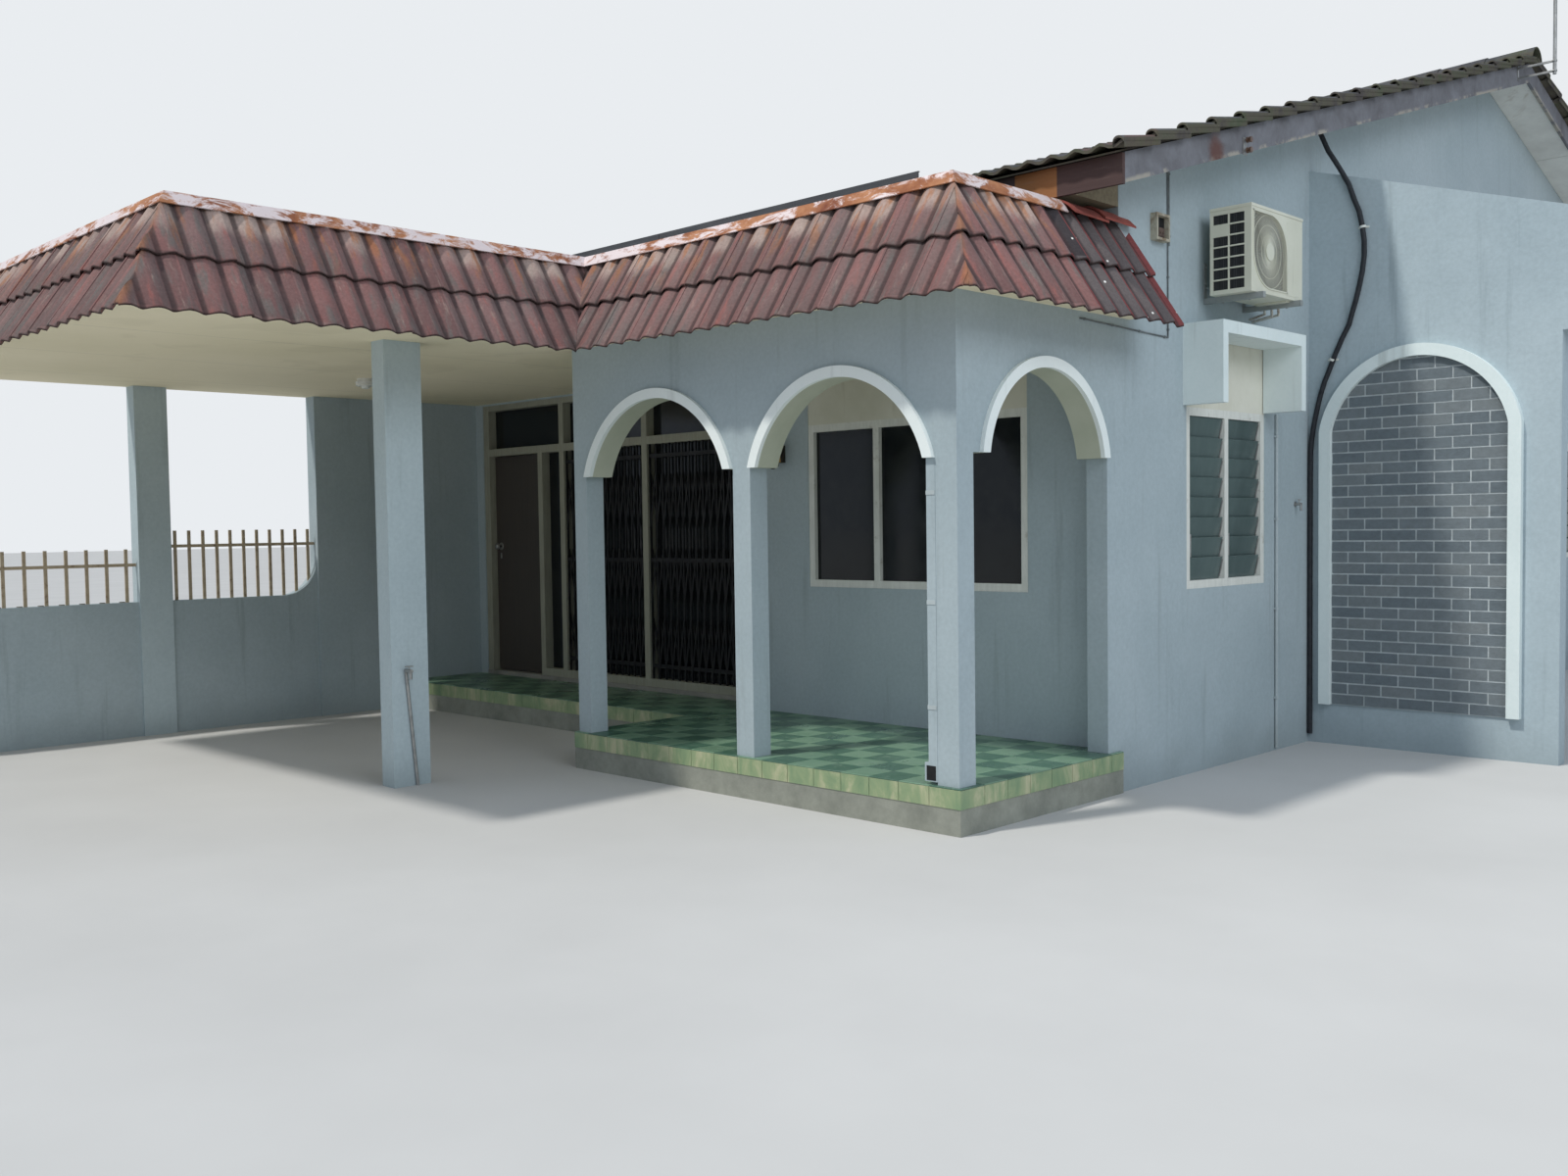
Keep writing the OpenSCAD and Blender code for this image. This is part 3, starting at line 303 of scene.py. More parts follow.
m = material("soffit_wash", 0.85, 0, 0.2)
tone = ramp(m, noise(m, 0.6, 5, 0.6), (0.78, 0.71, 0.5), (0.88, 0.8, 0.59))
board = calc(m, "FRACT", axis_of(m, 0, 1 / 1.22, 0.31))
joint = band(m, calc(m, "ABSOLUTE", calc(m, "SUBTRACT", board, 0.5)), 0.4925, 0.5)
tone = tint(m, tone, joint, 0.35, (0.3, 0.29, 0.22))
tone = tint(m, tone, band(m, noise(m, 1.3, 3, 0.5, 1.2), 0.58, 0.66), 0.1, (0.42, 0.36, 0.22))
screed = ramp(m, noise(m, 0.9, 8, 0.7, 0.4), (0.3, (0.1, 0.1, 0.09)),
              (0.5, (0.21, 0.205, 0.185)), (0.75, (0.33, 0.32, 0.29)))
tone = mix(m, band(m, facing(m, (0, 0, 1)), 0.4, 0.6), tone, screed)
relief(m, noise(m, 26, 4), 0.3, 0.002)
dress(finish(m, tone), "flat_roof_slab")
cement = mottled("bare_cement", (0.92, 0, 0.15), (1.8, 7, 0.65), (0.3, (0.17, 0.17, 0.15)),
                 (0.55, (0.3, 0.29, 0.26)), (0.8, (0.38, 0.36, 0.32)), bump=((34, 6), 0.6, 0.004))
dress(cement, "roof_kerb", "house_floor")

# Tile skirt
# Two courses of concrete roll tiles, 300 mm wide with two waves each, hang off the kerb round the
# flat roofs. They are old mauve-brown ones, and three newer red and grey ones at the house end.
cover, waves = 0.3, 2
skirt_out, skirt_foot, slope, gauge = 0.345, 2.65, 0.688, 0.344
slope_up = Vector((-skirt_out, sqrt(slope ** 2 - skirt_out ** 2))) / slope
slope_off = Vector((slope_up.y, -slope_up.x))
lap_z = 2.9476
valley_x, car_y = 0.565, -10.195


def dice(m, *cells):
    """One random number for each cell of a pattern."""
    cell = node(m, "CombineXYZ", dict(enumerate(cells))).outputs[0]
    return node(m, "TexWhiteNoise", {"Vector": cell}).outputs["Value"]


def tile_coat(name, axis, seam, fresh=None):
    """axis runs along the course, seam is the hip's place there, fresh where new tiles start."""
    m = material(name, 0.9, 0, 0.2)
    side = 1 if axis == 0 else -1
    along = axis_of(m, axis, 1 / cover, -seam / cover)
    course = calc(m, "FLOOR", axis_of(m, 2, 1 / cover, -lap_z / cover))
    tone = ramp(m, dice(m, calc(m, "FLOOR", along), course), (0.0, (0.165, 0.094, 0.09)),
                (0.35, (0.245, 0.124, 0.116)), (0.7, (0.205, 0.134, 0.128)), (1.0, (0.285, 0.15, 0.136)))
    streak = (6, 1.2, 1.2) if axis == 0 else (1.2, 6, 1.2)
    worn = noise(m, 2.6, 7, 0.68, 0, streak)
    turn = times(m, along, 2 * pi * waves)
    flank = plus(m, calc(m, "SINE", turn), times(m, worn, 1.6))
    lichen = noise(m, 5.5, 6, 0.7, 0, streak, (4.1, 2.2, 0.7))
    wave = calc(m, "ROUND", times(m, along, waves))
    head = band(m, plus(m, axis_of(m, 2), times(m, worn, 0.15)), 3.14, 3.23)
    head = times(m, band(m, dice(m, wave, wave, wave), 0.45, 0.75), head)
    rust = times(m, band(m, noise(m, 3.3, 4, stretch=streak), 0.5, 0.66),
                 band(m, axis_of(m, 2), 2.86, 3.26))
    hip = plus(m, axis_of(m, axis, -side, side * seam + skirt_out),
               axis_of(m, 2, -0.58, 0.58 * skirt_foot))
    hip = plus(m, hip, times(m, worn, 0.1))
    for mask, share, colour in (
            (band(m, worn, 0.5, 0.66), 0.8, (0.15, 0.138, 0.128)),
            (band(m, worn, 0.46, 0.3), 0.7, (0.31, 0.115, 0.1)),
            (band(m, flank, 0.7, 1.9), 0.45, (0.14, 0.126, 0.12)),
            (band(m, lichen, 0.56, 0.72), 0.55, (0.34, 0.26, 0.22)), (head, 0.7, (0.46, 0.36, 0.31)),
            (rust, 0.75, (0.36, 0.14, 0.05)), (band(m, hip, 0.11, 0.05), 0.5, (0.36, 0.15, 0.055))):
        tone = tint(m, tone, mask, share, colour)
    if fresh is not None:
        far = calc(m, "SUBTRACT", times(m, worn, 3.2), flank)
        new = ramp(m, band(m, far, -0.3, 1.7), (0.3, (0.215, 0.054, 0.054)),
                   (0.5, (0.155, 0.066, 0.066)), (0.72, (0.118, 0.102, 0.102)))
        new = tint(m, new, band(m, axis_of(m, 1), -6.01, -5.99), 0.85, (0.235, 0.056, 0.056))
        grey = times(m, calc(m, "LESS_THAN", axis_of(m, 1), fresh + cover / 2),
                     calc(m, "GREATER_THAN", axis_of(m, 2), lap_z))
        new = tint(m, new, grey, 0.85, (0.04, 0.034, 0.038))
        dots = node(m, "TexVoronoi", {"Vector": place(m), "Scale": 11}).outputs["Distance"]
        new = mix(m, band(m, dots, 0.1, 0.06), new, (0.75, 0.75, 0.72))
        tone = mix(m, calc(m, "GREATER_THAN", axis_of(m, axis), fresh), tone, new)
    # The valleys of the waves are darkened: dirt that gathers there, and painted shade beside the rolls.
    valley_dirt_and_shade = band(m, calc(m, "COSINE", turn), -0.62, -0.96)
    tone = tint(m, tone, valley_dirt_and_shade, 0.75, (0.05, 0.036, 0.036))
    # Painted shade: the tiles' butt faces, which look down the slope, are coloured near black.
    butt_painted_shade = facing(m, (0, -0.5, -0.866) if axis == 0 else (0.5, 0, -0.866))
    tone = mix(m, band(m, butt_painted_shade, 0.22, 0.45), tone, (0.03, 0.018, 0.016))
    grain = noise(m, 62, 6, 0.75)
    tone = mix(m, 0.55, tone, ramp(m, grain, (0.32, 0.34), (0.68, 0.66)), "OVERLAY")
    relief(m, plus(m, times(m, grain, 0.5), worn), 0.5, 0.004)
    return finish(m, tone)


def faces_of(verts):
    return list({f for v in verts for f in v.link_faces})


def sheet(bm, nx, ny, thick, spot):
    """A sheet of nx by ny faces whose corners go to spot(a, c), with a and c from 0 to 1."""
    made = bmesh.ops.create_grid(bm, x_segments=nx, y_segments=ny, size=0.5)["verts"]
    for v in made:
        v.co = spot(v.co.x + 0.5, v.co.y + 0.5)
    bmesh.ops.solidify(bm, geom=faces_of(made), thickness=thick)


def cut_off(bm, at, way, parts=None):
    """Cuts away what lies past a plane and gives the new rim's edges."""
    cut = bmesh.ops.bisect_plane(
        bm, geom=parts or bm.verts[:] + bm.edges[:] + bm.faces[:],
        plane_co=at, plane_no=way, clear_outer=True)
    return [e for e in cut["geom_cut"] if isinstance(e, bmesh.types.BMEdge)]


def piece(name, bm, coat, slot, *stands_for, body="house", smooth=False):
    bmesh.ops.recalc_face_normals(bm, faces=bm.faces)
    mesh = bpy.data.meshes.new(name)
    bm.to_mesh(mesh)
    bm.free()
    mesh.materials.append(coat)
    if smooth:
        mesh.shade_smooth()
        mesh.set_sharp_from_angle(angle=radians(40))
    made = bpy.data.objects.new(name, mesh)
    scene.collection.objects.link(made)
    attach(made, body)
    if stands_for:
        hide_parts(*stands_for)


def skirt_tiles(name, start, along, out, run, first, last, fresh=None):
    """first and last: 1 for a hip, -1 for a valley, 0 for a square end."""
    origin, axis = 0.0 if first == 1 else run, along.index(1)
    coat = tile_coat(name + "_coat", axis, start[axis] + origin, fresh)
    start, along, out = (Vector((*v, 0)) for v in (start, along, out))
    bm = bmesh.new()
    low_tile = floor(((-0.4 if first else 0) - origin) / cover)
    high_tile = ceil((run + (0.4 if last else 0) - origin) / cover)
    for course in (0, 1):
        foot = Vector((skirt_out, skirt_foot)) + slope_up * gauge * course
        for k in range(low_tile, high_tile):
            u0 = origin + cover * k
            slip, lift = random.uniform(-0.004, 0.004), random.uniform(-0.0015, 0.0015)

            def spot(a, c):
                u = a * 0.312
                wave = (0.5 + 0.5 * cos(2 * pi * waves * u / cover)) ** 0.6
                h = 0.027 * (wave - 1) + lift - 0.022 * c + 0.004 * a
                flat = foot + slope_up * (0.352 * c + slip) + slope_off * h
                return start + along * (u0 + u) + out * flat.x + Vector((0, 0, flat.y))

            sheet(bm, 24, 2, 0.015, spot)
    for end, at, side in ((first, 0.0, -1), (last, run, 1)):
        cut_off(bm, start + along * at, along * side - out * end)
    piece(name, bm, coat, "skirt_tile", "tile_skirt", smooth=True)


skirt_tiles("skirt_porch_side", (gable_x, porch_y), (0, 1), (1, 0), 1.62, 1, 0, -6.8)
skirt_tiles("skirt_porch_front", (valley_x, porch_y), (1, 0), (0, -1), gable_x - valley_x, -1, 1)
skirt_tiles("skirt_car_side", (valley_x, car_y), (0, 1), (1, 0), porch_y - car_y, 1, -1)
skirt_tiles("skirt_car_front", (-gable_x, car_y), (1, 0), (0, -1), valley_x + gable_x, 0, 1)

# Cap flashing
# Galvanised sheet folded over the kerb and the tiles' heads. The zinc has gone: orange rust and
# pinkish-white flakes of old primer, more of them at the car porch's end.
m = material("rusty_flashing", 0.75, 0.25, 0.4)
tone = ramp(m, noise(m, 3.2, 8, 0.7), (0.3, (0.19, 0.055, 0.03)), (0.48, (0.34, 0.135, 0.062)),
            (0.6, (0.47, 0.22, 0.11)), (0.75, (0.33, 0.115, 0.06)))
flake = noise(m, 9.5, 9, 0.72, 0.6, (0.55, 0.55, 1.3))
old_end = times(m, band(m, axis_of(m, 0), 1.9, 0.8), 0.05)
tone = mix(m, band(m, plus(m, flake, old_end), 0.47, 0.59), tone, (0.73, 0.64, 0.64))
relief(m, flake, 0.8, 0.004)
dress(finish(m, tone, ramp(m, flake, (0.4, 0.85), (0.6, 0.55))), "cap_flashing")

# Ridge caps on the side kerb
# Past the metal flashing the kerb is capped with two newer ridge tiles of red concrete. They lap
# each other and lie over the heads of the skirt's tiles.
bm = bmesh.new()
for k, (y0, y1) in enumerate(((-6.56, -6.22), (-6.26, -5.935))):
    def spot(a, c):
        x = 3.335 + 0.225 * a
        z = 3.258 + 0.045 * sin(pi * min(1, a * 1.05)) ** 0.8 - 0.035 * a ** 3
        return Vector((x, y0 + (y1 - y0) * c, z + 0.01 * k - 0.01 * c))

    sheet(bm, 12, 1, 0.012, spot)
red_tile = mottled("new_red_tile", (0.85, 0, 0.25), (7, 7, 0.7), (0.3, (0.15, 0.045, 0.04)),
                   (0.6, (0.29, 0.075, 0.058)), (0.8, (0.36, 0.15, 0.11)), bump=((80, 4), 0.4, 0.003))
piece("kerb_ridge_caps", bm, red_tile, "skirt_tile", smooth=True)

# Main roof
# Twenty lapped courses of concrete roll tiles hang on each slope, charcoal with moss and a few
# redder ones. The end tile of a course rolls down over the barge; a board stands for the battens.
tilt, courses, lap, eave_y, verge_x = radians(16.3), 20, 0.03, 6.612, 3.902
m = material("mossy_roof_tile", 0.93, 0, 0.15)
tile_number = calc(m, "FLOOR", axis_of(m, 0, 1 / cover, -0.007))
course = calc(m, "FLOOR", axis_of(m, 1, courses / eave_y))
tone = ramp(m, dice(m, tile_number, course), (0.0, (0.058, 0.06, 0.064)),
            (0.5, (0.09, 0.09, 0.094)), (0.93, (0.07, 0.072, 0.078)), (1.0, (0.13, 0.078, 0.066)))
tone = tint(m, tone, band(m, noise(m, 1.1, 8, 0.7), 0.5, 0.7), 0.8, (0.085, 0.1, 0.045))
bloom = noise(m, 8, 6, 0.7)
tone = tint(m, tone, band(m, bloom, 0.58, 0.72), 0.6, (0.21, 0.2, 0.18))
under = ramp(m, noise(m, 5, 6, 0.7), (0.35, (0.07, 0.06, 0.06)),
             (0.5, (0.105, 0.096, 0.07)), (0.65, (0.082, 0.096, 0.058)))
tone = tint(m, tone, band(m, facing(m, (0, 0, 1)), 0.75, 0.35), 0.85, under)
relief(m, plus(m, bloom, noise(m, 60, 3)), 0.5, 0.004)
roof_coat = finish(m, tone)
ridge_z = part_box("main_roof_front")[1].z - 0.07
length = eave_y / cos(tilt)
top = Vector((0, 0, ridge_z))
for side, name in ((-1, "main_roof_front"), (1, "main_roof_rear")):
    down = Vector((0, side * cos(tilt), -sin(tilt)))
    off = Vector((0, side * sin(tilt), cos(tilt)))
    bm = bmesh.new()
    for k in range(courses):
        s0 = length - (courses - k) * gauge

        def course_sheet(a, c):
            x = -gable_x + (gable_x + verge_x) * a
            wave = (0.5 + 0.5 * cos(2 * pi * waves * (x - verge_x) / cover)) ** 1.25
            h = 0.036 + 0.024 * (wave - 1) + 0.034 * c
            return top + Vector((x, 0, 0)) + down * (s0 + gauge * c - lap * (1 - c)) + off * h

        def verge_roll(a, c):
            turn, r = pi * (1.22 * a - 0.16), 0.031 + 0.004 * c
            s = s0 + 0.35 * c - lap * (1 - c)
            h = 0.02 + 0.032 * c + r * sin(turn)
            return top + Vector((verge_x - 0.036 + r * cos(turn), 0, 0)) + down * s + off * h

        sheet(bm, 296, 1, 0.017, course_sheet)
        sheet(bm, 10, 1, 0.012, verge_roll)
    piece(name + "_tiles", bm, roof_coat, "roof_tile", name, smooth=True)
    bm = bmesh.new()
    sheet(bm, 1, 1, 0.01, lambda a, c: top + Vector((-gable_x + 7.34 * a, 0, 0))
          + down * (length - 0.02) * c + off * 0.014)
    piece(name + "_battens", bm, roof_coat, "roof_tile")

# Ridge tiles
# Half-round ridge tiles of the same concrete, about 400 mm each, are laid in mortar along the
# ridge. Going inwards from the verge, each one laps over the one before.
low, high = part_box("ridge_tiles")
bm = bmesh.new()
count = 19
step = (high.x - low.x) / count
for k in range(count):
    x1 = high.x - k * step

    def spot(a, c):
        turn, r = pi * (0.1 + 0.8 * a), 0.128 - 0.01 * c
        return Vector(
            (x1 - (step + lap * (k < count - 1)) * c, -r * cos(turn), high.z - 0.126 + r * sin(turn)))

    sheet(bm, 12, 1, 0.012, spot)
piece("ridge_tile_row", bm, roof_coat, "roof_tile", "ridge_tiles", smooth=True)


# Barge and fascia boards
# Weathered timber boards. The barge is grey-purple with its paint gone cream along the lower
# edge and one rust run; the front fascia is brown with one newer orange-brown length.
def timber(name, light, dark, stretch, wear):
    m = material(name, 0.85, 0, 0.25)
    grain = noise(m, 5, 8, 0.7, 0.3, stretch)
    tone = wear(m, ramp(m, grain, dark, light), grain)
    relief(m, grain, 0.6, 0.003)
    return finish(m, tone)


def barge_wear(m, tone, grain):
    drop = times(m, calc(m, "ABSOLUTE", axis_of(m, 1)), tan(tilt))
    edge = plus(m, plus(m, axis_of(m, 2), drop), times(m, grain, 0.05))
    base = ridge_z - 0.16
    peel = times(m, band(m, edge, base + 0.056, base + 0.034),
                 band(m, noise(m, 1.5, 5, 0.7, 0, (1, 1.4, 1.4)), 0.49, 0.57))
    tone = mix(m, peel, tone, (0.33, 0.31, 0.27))
    stain = node(m, "VectorMath", {0: place(m), 1: (3.84, -5.527, 3.66)}, operation="DISTANCE")
    stain = plus(m, stain.outputs["Value"], times(m, grain, 0.16))
    return tint(m, tone, band(m, stain, 0.2, 0.1), 0.8, (0.115, 0.046, 0.034))


def fascia_parts(m, tone, grain):
    part = ramp(m, axis_of(m, 0, 0.1, 0.5), (0.0, (0.052, 0.04, 0.042)),
                (0.813, (0.34, 0.15, 0.052)), (0.841, (0.075, 0.045, 0.042)), kind="CONSTANT")
    tone = mix(m, 0.8, tone, part)
    return tint(m, tone, band(m, grain, 0.58, 0.75), 0.4, (0.2, 0.17, 0.15))


dress(timber("barge_timber", (0.215, 0.222, 0.245), (0.112, 0.11, 0.118), (9, 0.7, 0.7), barge_wear),
      "barge_boards")
dress(timber("fascia_timber", (0.16, 0.11, 0.1), (0.07, 0.05, 0.05), (0.7, 9, 9), fascia_parts),
      "fascia_boards")

# Soffit boards
# Cream painted timber boards close the verge between the gable wall and the barge board. They are
# nailed up under the roof in short lengths with open joints.
soffit_coat = mottled(
    "soffit_boards_paint", (0.8, 0, 0.25),
    (2.4, 7, 0.65), (0.3, (0.56, 0.56, 0.53)), (0.65, (0.73, 0.74, 0.7)), (0.85, (0.78, 0.79, 0.75)),
    bump=((30, 4), 0.3, 0.002), stain=((1.2, 5, 0.7, 0.5), 0.6, 0.68, 0.5, (0.26, 0.2, 0.13)))
low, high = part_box("soffit_boards")
bm = bmesh.new()
eave_end, verge_in, verge_out, count = high.y, 3.512, high.x - 0.001, 10
for side in (-1, 1):
    for k in range(count):
        def spot(a, c):
            y = side * (0.002 + (eave_end - 0.004) * (k + 0.004 + 0.992 * a) / count)
            return Vector((verge_in + (verge_out - verge_in) * c, y,
                           ridge_z - 0.15 + 0.0015 * (k % 2) - abs(y) * tan(tilt)))

        sheet(bm, 1, 1, -0.008, spot)
piece("verge_soffit_lengths", bm, soffit_coat, "soffit_board", "soffit_boards")


# Eave soffit
# The flat boards under both eaves and over the landing, and the boards that close the eaves' ends,
# are bare plywood, gone olive brown.
def block(bm, lo, hi):
    lo, hi = Vector(lo), Vector(hi)
    at = Matrix.Translation((lo + hi) / 2) @ Matrix.Diagonal((*(hi - lo), 1))
    return bmesh.ops.create_cube(bm, size=1, matrix=at)["verts"]


ply = (4, 7, 0.7, 0, (0.8, 9, 9))
plywood = mottled("olive_plywood", (0.85, 0, 0.2), ply, (0.175, 0.145, 0.095),
                  (0.27, 0.235, 0.165), bump=(ply, 0.4, 0.002))
flat_z, inner_y, outer_y = low.z, 6.047, eave_end - 0.001
first_x, board_long = 0.002 - gable_x, 1.1695
bm = bmesh.new()
for side in (-1, 1):
    y0, y1 = sorted((side * inner_y, side * outer_y))
    for k in range(6):
        x0, x1 = first_x + k * board_long + 0.002, first_x + (k + 1) * board_long - 0.002
        block(bm, (x0, y0, flat_z + 0.0005 * (k % 2)), (x1, y1, flat_z + 0.009))
    made = block(bm, (gable_x - 0.0095, y0, flat_z), (gable_x - 0.0005, y1, flat_z + 0.152))
    parts = made + list({e for v in made for e in v.link_edges}) + faces_of(made)
    rim = cut_off(bm, (gable_x, 0, ridge_z - 0.146), (0, side * sin(tilt), cos(tilt)), parts)
    bmesh.ops.holes_fill(bm, edges=rim, sides=0)
block(bm, (first_x, -6.044, flat_z + 0.001), (0.418, -5.812, flat_z + 0.009))
piece("eave_soffit_boards", bm, plywood, "soffit_board")


# Eave gutter
# A deep gutter folded from dark grey sheet. Straps cover the joints of its three lengths, and a
# folded lip runs along the top of its tall front board.
def round_edges(bm, width):
    bmesh.ops.bevel(
        bm, geom=bm.edges[:], offset=width, affect="EDGES", segments=1, profile=0.5, material=-1)


gutter_coat = mottled(
    "gutter_sheet", (0.5, 0.3, 0.4), (2.5, 6, 0.65, 0, (0.6, 3, 3)), (0.06, 0.062, 0.068),
    (0.115, 0.118, 0.125), bump=((2, 3, 0.55, 0, (0.5, 2, 2)), 0.4, 0.006), shine=((5, 4), 0.38, 0.62))
dress(gutter_coat, "eave_gutter")
low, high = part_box("eave_gutter")
bm = bmesh.new()
for x in (-1.9, 0.33):
    block(bm, (x, low.y - 0.0035, low.z + 0.002), (x + 0.035, low.y + 0.0005, high.z - 0.001))
block(bm, (low.x + 0.01, low.y + 0.001, high.z - 0.001), (high.x, low.y + 0.016, high.z + 0.004))
round_edges(bm, 0.0012)
piece("gutter_laps", bm, gutter_coat, "gutter_metal")

# Brick panel
# The blind arch is filled with blue-grey facing bricks in stretcher bond, 225 by 75 mm with
# pale struck joints. Each brick is a block that stands a few millimetres out of the mortar.
low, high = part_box("brick_panel")
face, brick_long, brick_high, bed = low.y, 0.225, 0.075, 0.005
m = material("facing_brick", 0.8, 0, 0.25)
row = calc(m, "FLOOR", axis_of(m, 2, 1 / brick_high, -low.z / brick_high))
shift = times(m, calc(m, "MODULO", row, 2.0), 0.5)
number = calc(m, "FLOOR", plus(m, axis_of(m, 0, 1 / brick_long, -low.x / brick_long), shift))
tone = ramp(m, dice(m, number, row), (0.0, (0.128, 0.155, 0.172)), (0.5, (0.152, 0.18, 0.196)),
            (1.0, (0.18, 0.203, 0.212)))
grain = ramp(m, noise(m, 30, 6, 0.7), 0.36, 0.62)
relief(m, noise(m, 55, 5), 0.6, 0.003)
brick_coat = finish(m, mix(m, 0.5, tone, grain, "OVERLAY"))
bm = bmesh.new()
for r in range(int((high.z - low.z) / brick_high) + 1):
    z0 = low.z + r * brick_high
    for k in range(-1, 6):
        x0 = low.x + (k - (0.5 if r % 2 else 0)) * brick_long
        front = face - 0.004 + random.uniform(-0.001, 0.001)
        block(bm, (x0 + bed, front, z0 + bed),
              (x0 + brick_long - bed, face + 0.004, z0 + brick_high - bed))
centre = Vector(((low.x + high.x) / 2, 0, high.z - ((high.x - low.x) / 2 + 0.01)))
cuts = [((low.x + 0.003, 0, 0), (-1, 0, 0)), ((high.x - 0.003, 0, 0), (1, 0, 0)),
        ((0, 0, low.z + 0.002), (0, 0, -1))]
for k in range(25):
    turn = pi * k / 24
    way = Vector((cos(turn), 0, sin(turn)))
    cuts.append((centre + way * (high.z - centre.z - 0.003), way))
for at, way in cuts:
    bmesh.ops.holes_fill(bm, edges=cut_off(bm, at, way), sides=0)
piece("facing_bricks", bm, brick_coat, "brick")
dress(mottled("brick_mortar", (0.92, 0, 0.15), (16, 6, 0.7), (0.4, 0.44, 0.45),
              (0.6, 0.65, 0.66), bump=((70, 4), 0.5, 0.002)), "brick_panel")

# Porch floor
# Glazed floor tiles, 200 mm square, dark and pale green by turns like a chessboard, in grey grout,
# with a yellow-green tiled band along the edge over a plain concrete riser.
tile_greens = [
    mottled(name, (0.35, 0, 0.5), (2.6, 7, 0.7), deep, light,
            stain=((14, 8, 0.7, 1.0), 0.52, 0.68, 0.35, (0.3, 0.4, 0.31)),
            shine=((3, 5), 0.22, 0.5))
    for name, deep, light in (("dark_green_tile", (0.05, 0.125, 0.085), (0.085, 0.17, 0.12)),
                              ("pale_green_tile", (0.135, 0.25, 0.165), (0.19, 0.31, 0.215)))]
grout = mottled("floor_grout", (0.9, 0, 0.15), (4, 7, 0.7), (0.2, 0.21, 0.18),
                (0.34, 0.35, 0.3), bump=((50, 5), 0.5, 0.003))
edge_coat = mottled("yellow_edge_tile", (0.4, 0, 0.5), (1.4, 6, 0.65, 0.5, (5, 5, 2)),
                    (0.33, (0.17, 0.27, 0.15)), (0.5, (0.27, 0.345, 0.19)), (0.64, (0.46, 0.46, 0.29)))
tile, gap, tile_z, thick = 0.2, 0.0015, 0.24, 0.006
far_west, west, east = -3.37, 0.395, 3.535
south, landing, wall, back = -7.575, -6.59, -6.045, -5.81
bm = bmesh.new()
for x0, y0, x1, y1 in (
        (far_west, landing + 0.004, west + 0.004, back - 0.001),
        (west + 0.004, south + 0.004, east - 0.004, wall),
        (west + 0.004, wall, west + 0.025, back - 0.001)):
    block(bm, (x0, y0, 0), (x1, y1, tile_z - 0.004))
piece("porch_floor_bed", bm, grout, "floor_tile", "porch_floor")
by_colour = bmesh.new(), bmesh.new()


def lay_tiles(x0, y0, x1, y1):
    """Lays the field from its front right corner; slivers under 20 mm are left out."""
    for i in range(ceil((x1 - x0) / tile)):
        for j in range(ceil((y1 - y0) / tile)):
            left, right = max(x0, x1 - tile * (i + 1)), x1 - tile * i
            front, rear = y0 + tile * j, min(y1, y0 + tile * (j + 1))
            if right - left > 0.02 and rear - front > 0.02:
                block(by_colour[(i + j) % 2], (left + gap, front + gap, tile_z - thick),
                      (right - gap, rear - gap, tile_z + random.uniform(-0.0004, 0.0003)))


lay_tiles(west, south, east, wall)
lay_tiles(far_west, landing, west, back)
lay_tiles(west, wall, west + 0.0245, back)
for name, laid, coat in zip(("porch_tiles_dark", "porch_tiles_pale"), by_colour, tile_greens):
    round_edges(laid, 0.0012)
    piece(name, laid, coat, "floor_tile")
edge_low, edge_high = 0.136, 0.2325
bm = bmesh.new()
for x0, x1, y, count in ((west, east, south, 16), (far_west, west, landing, 19)):
    for k in range(count):
        right = x1 - tile * k
        block(bm, (max(x0, right - tile) + gap, y, edge_low), (right - gap, y + thick, edge_high))
for x, count in ((east - thick, 8), (west, 4)):
    for k in range(count):
        front = south + tile * k
        rear = min(wall, front + tile)
        block(bm, (x, front + gap, edge_low), (x + thick, rear - gap, edge_high))
round_edges(bm, 0.0012)
piece("porch_edge_tiles", bm, edge_coat, "floor_tile")

# Windows
# Painted timber frames with clear panes and closed glass louvres, and cream boards over the lights
# where the house once had more glass.
grain = (6, 7, 0.65, 0, (6, 6, 1))
frame_coat = mottled(
    "frame_paint", (0.55, 0, 0.4), grain, (0.6, 0.61, 0.56),
    (0.74, 0.75, 0.7), bump=(grain, 0.3, 0.002), stain=((9, 6, 0.7), 0.6, 0.7, 0.5, (0.34, 0.32, 0.26)))
dress(frame_coat, "window_frames")
dress(mottled("cream_panel", (0.7, 0, 0.3), (1.7, 6, 0.6), (0.58, 0.57, 0.47),
              (0.72, 0.71, 0.62), bump=((40, 4), 0.25, 0.002),
              stain=((2.5, 5, 0.55, 0, (4, 4, 0.5)), 0.56, 0.7, 0.35, (0.36, 0.33, 0.24))),
      "window_panels")
# The panes are coloured near black: painted shade of the unlit rooms behind them. Dust pales and dulls
# them in spots.
m = material("glass_with_painted_shade", 0.06, 0, 0.32)
shader(m).inputs["Transmission Weight"].default_value = 0.25
shader(m).inputs["IOR"].default_value = 1.45
dust = noise(m, 6, 6, 0.7)
tone = ramp(m, dust, (0.35, (0.01, 0.012, 0.014)), (0.8, (0.03, 0.034, 0.034)))
dress(finish(m, tone, ramp(m, dust, (0.3, 0.04), (0.8, 0.22))), "window_glass")
m = material("frosted_louvre", 0.25, 0, 0.5)
shader(m).inputs["Transmission Weight"].default_value = 0.2
frost = noise(m, 1.6, 5, 0.6, 0, (1, 2, 0.6))
tone = ramp(m, frost, (0.085, 0.125, 0.122), (0.145, 0.2, 0.192))
edge = calc(m, "ABSOLUTE", facing(m, (-0.208, 0, 0.978)))
tone = mix(m, band(m, edge, 0.6, 0.8), tone, (0.42, 0.52, 0.48))
dress(finish(m, tone, ramp(m, frost, 0.1, 0.26)), "louvre_blades")


# Louvre clips
# Each glass blade sits in a folded clip at both ends; the clips of a light ride on one strip, and
# a lever at the side turns them.
def turn_by(bm, verts, at, axis, angle):
    bmesh.ops.rotate(bm, verts=verts, cent=at, matrix=Matrix.Rotation(angle, 3, axis))


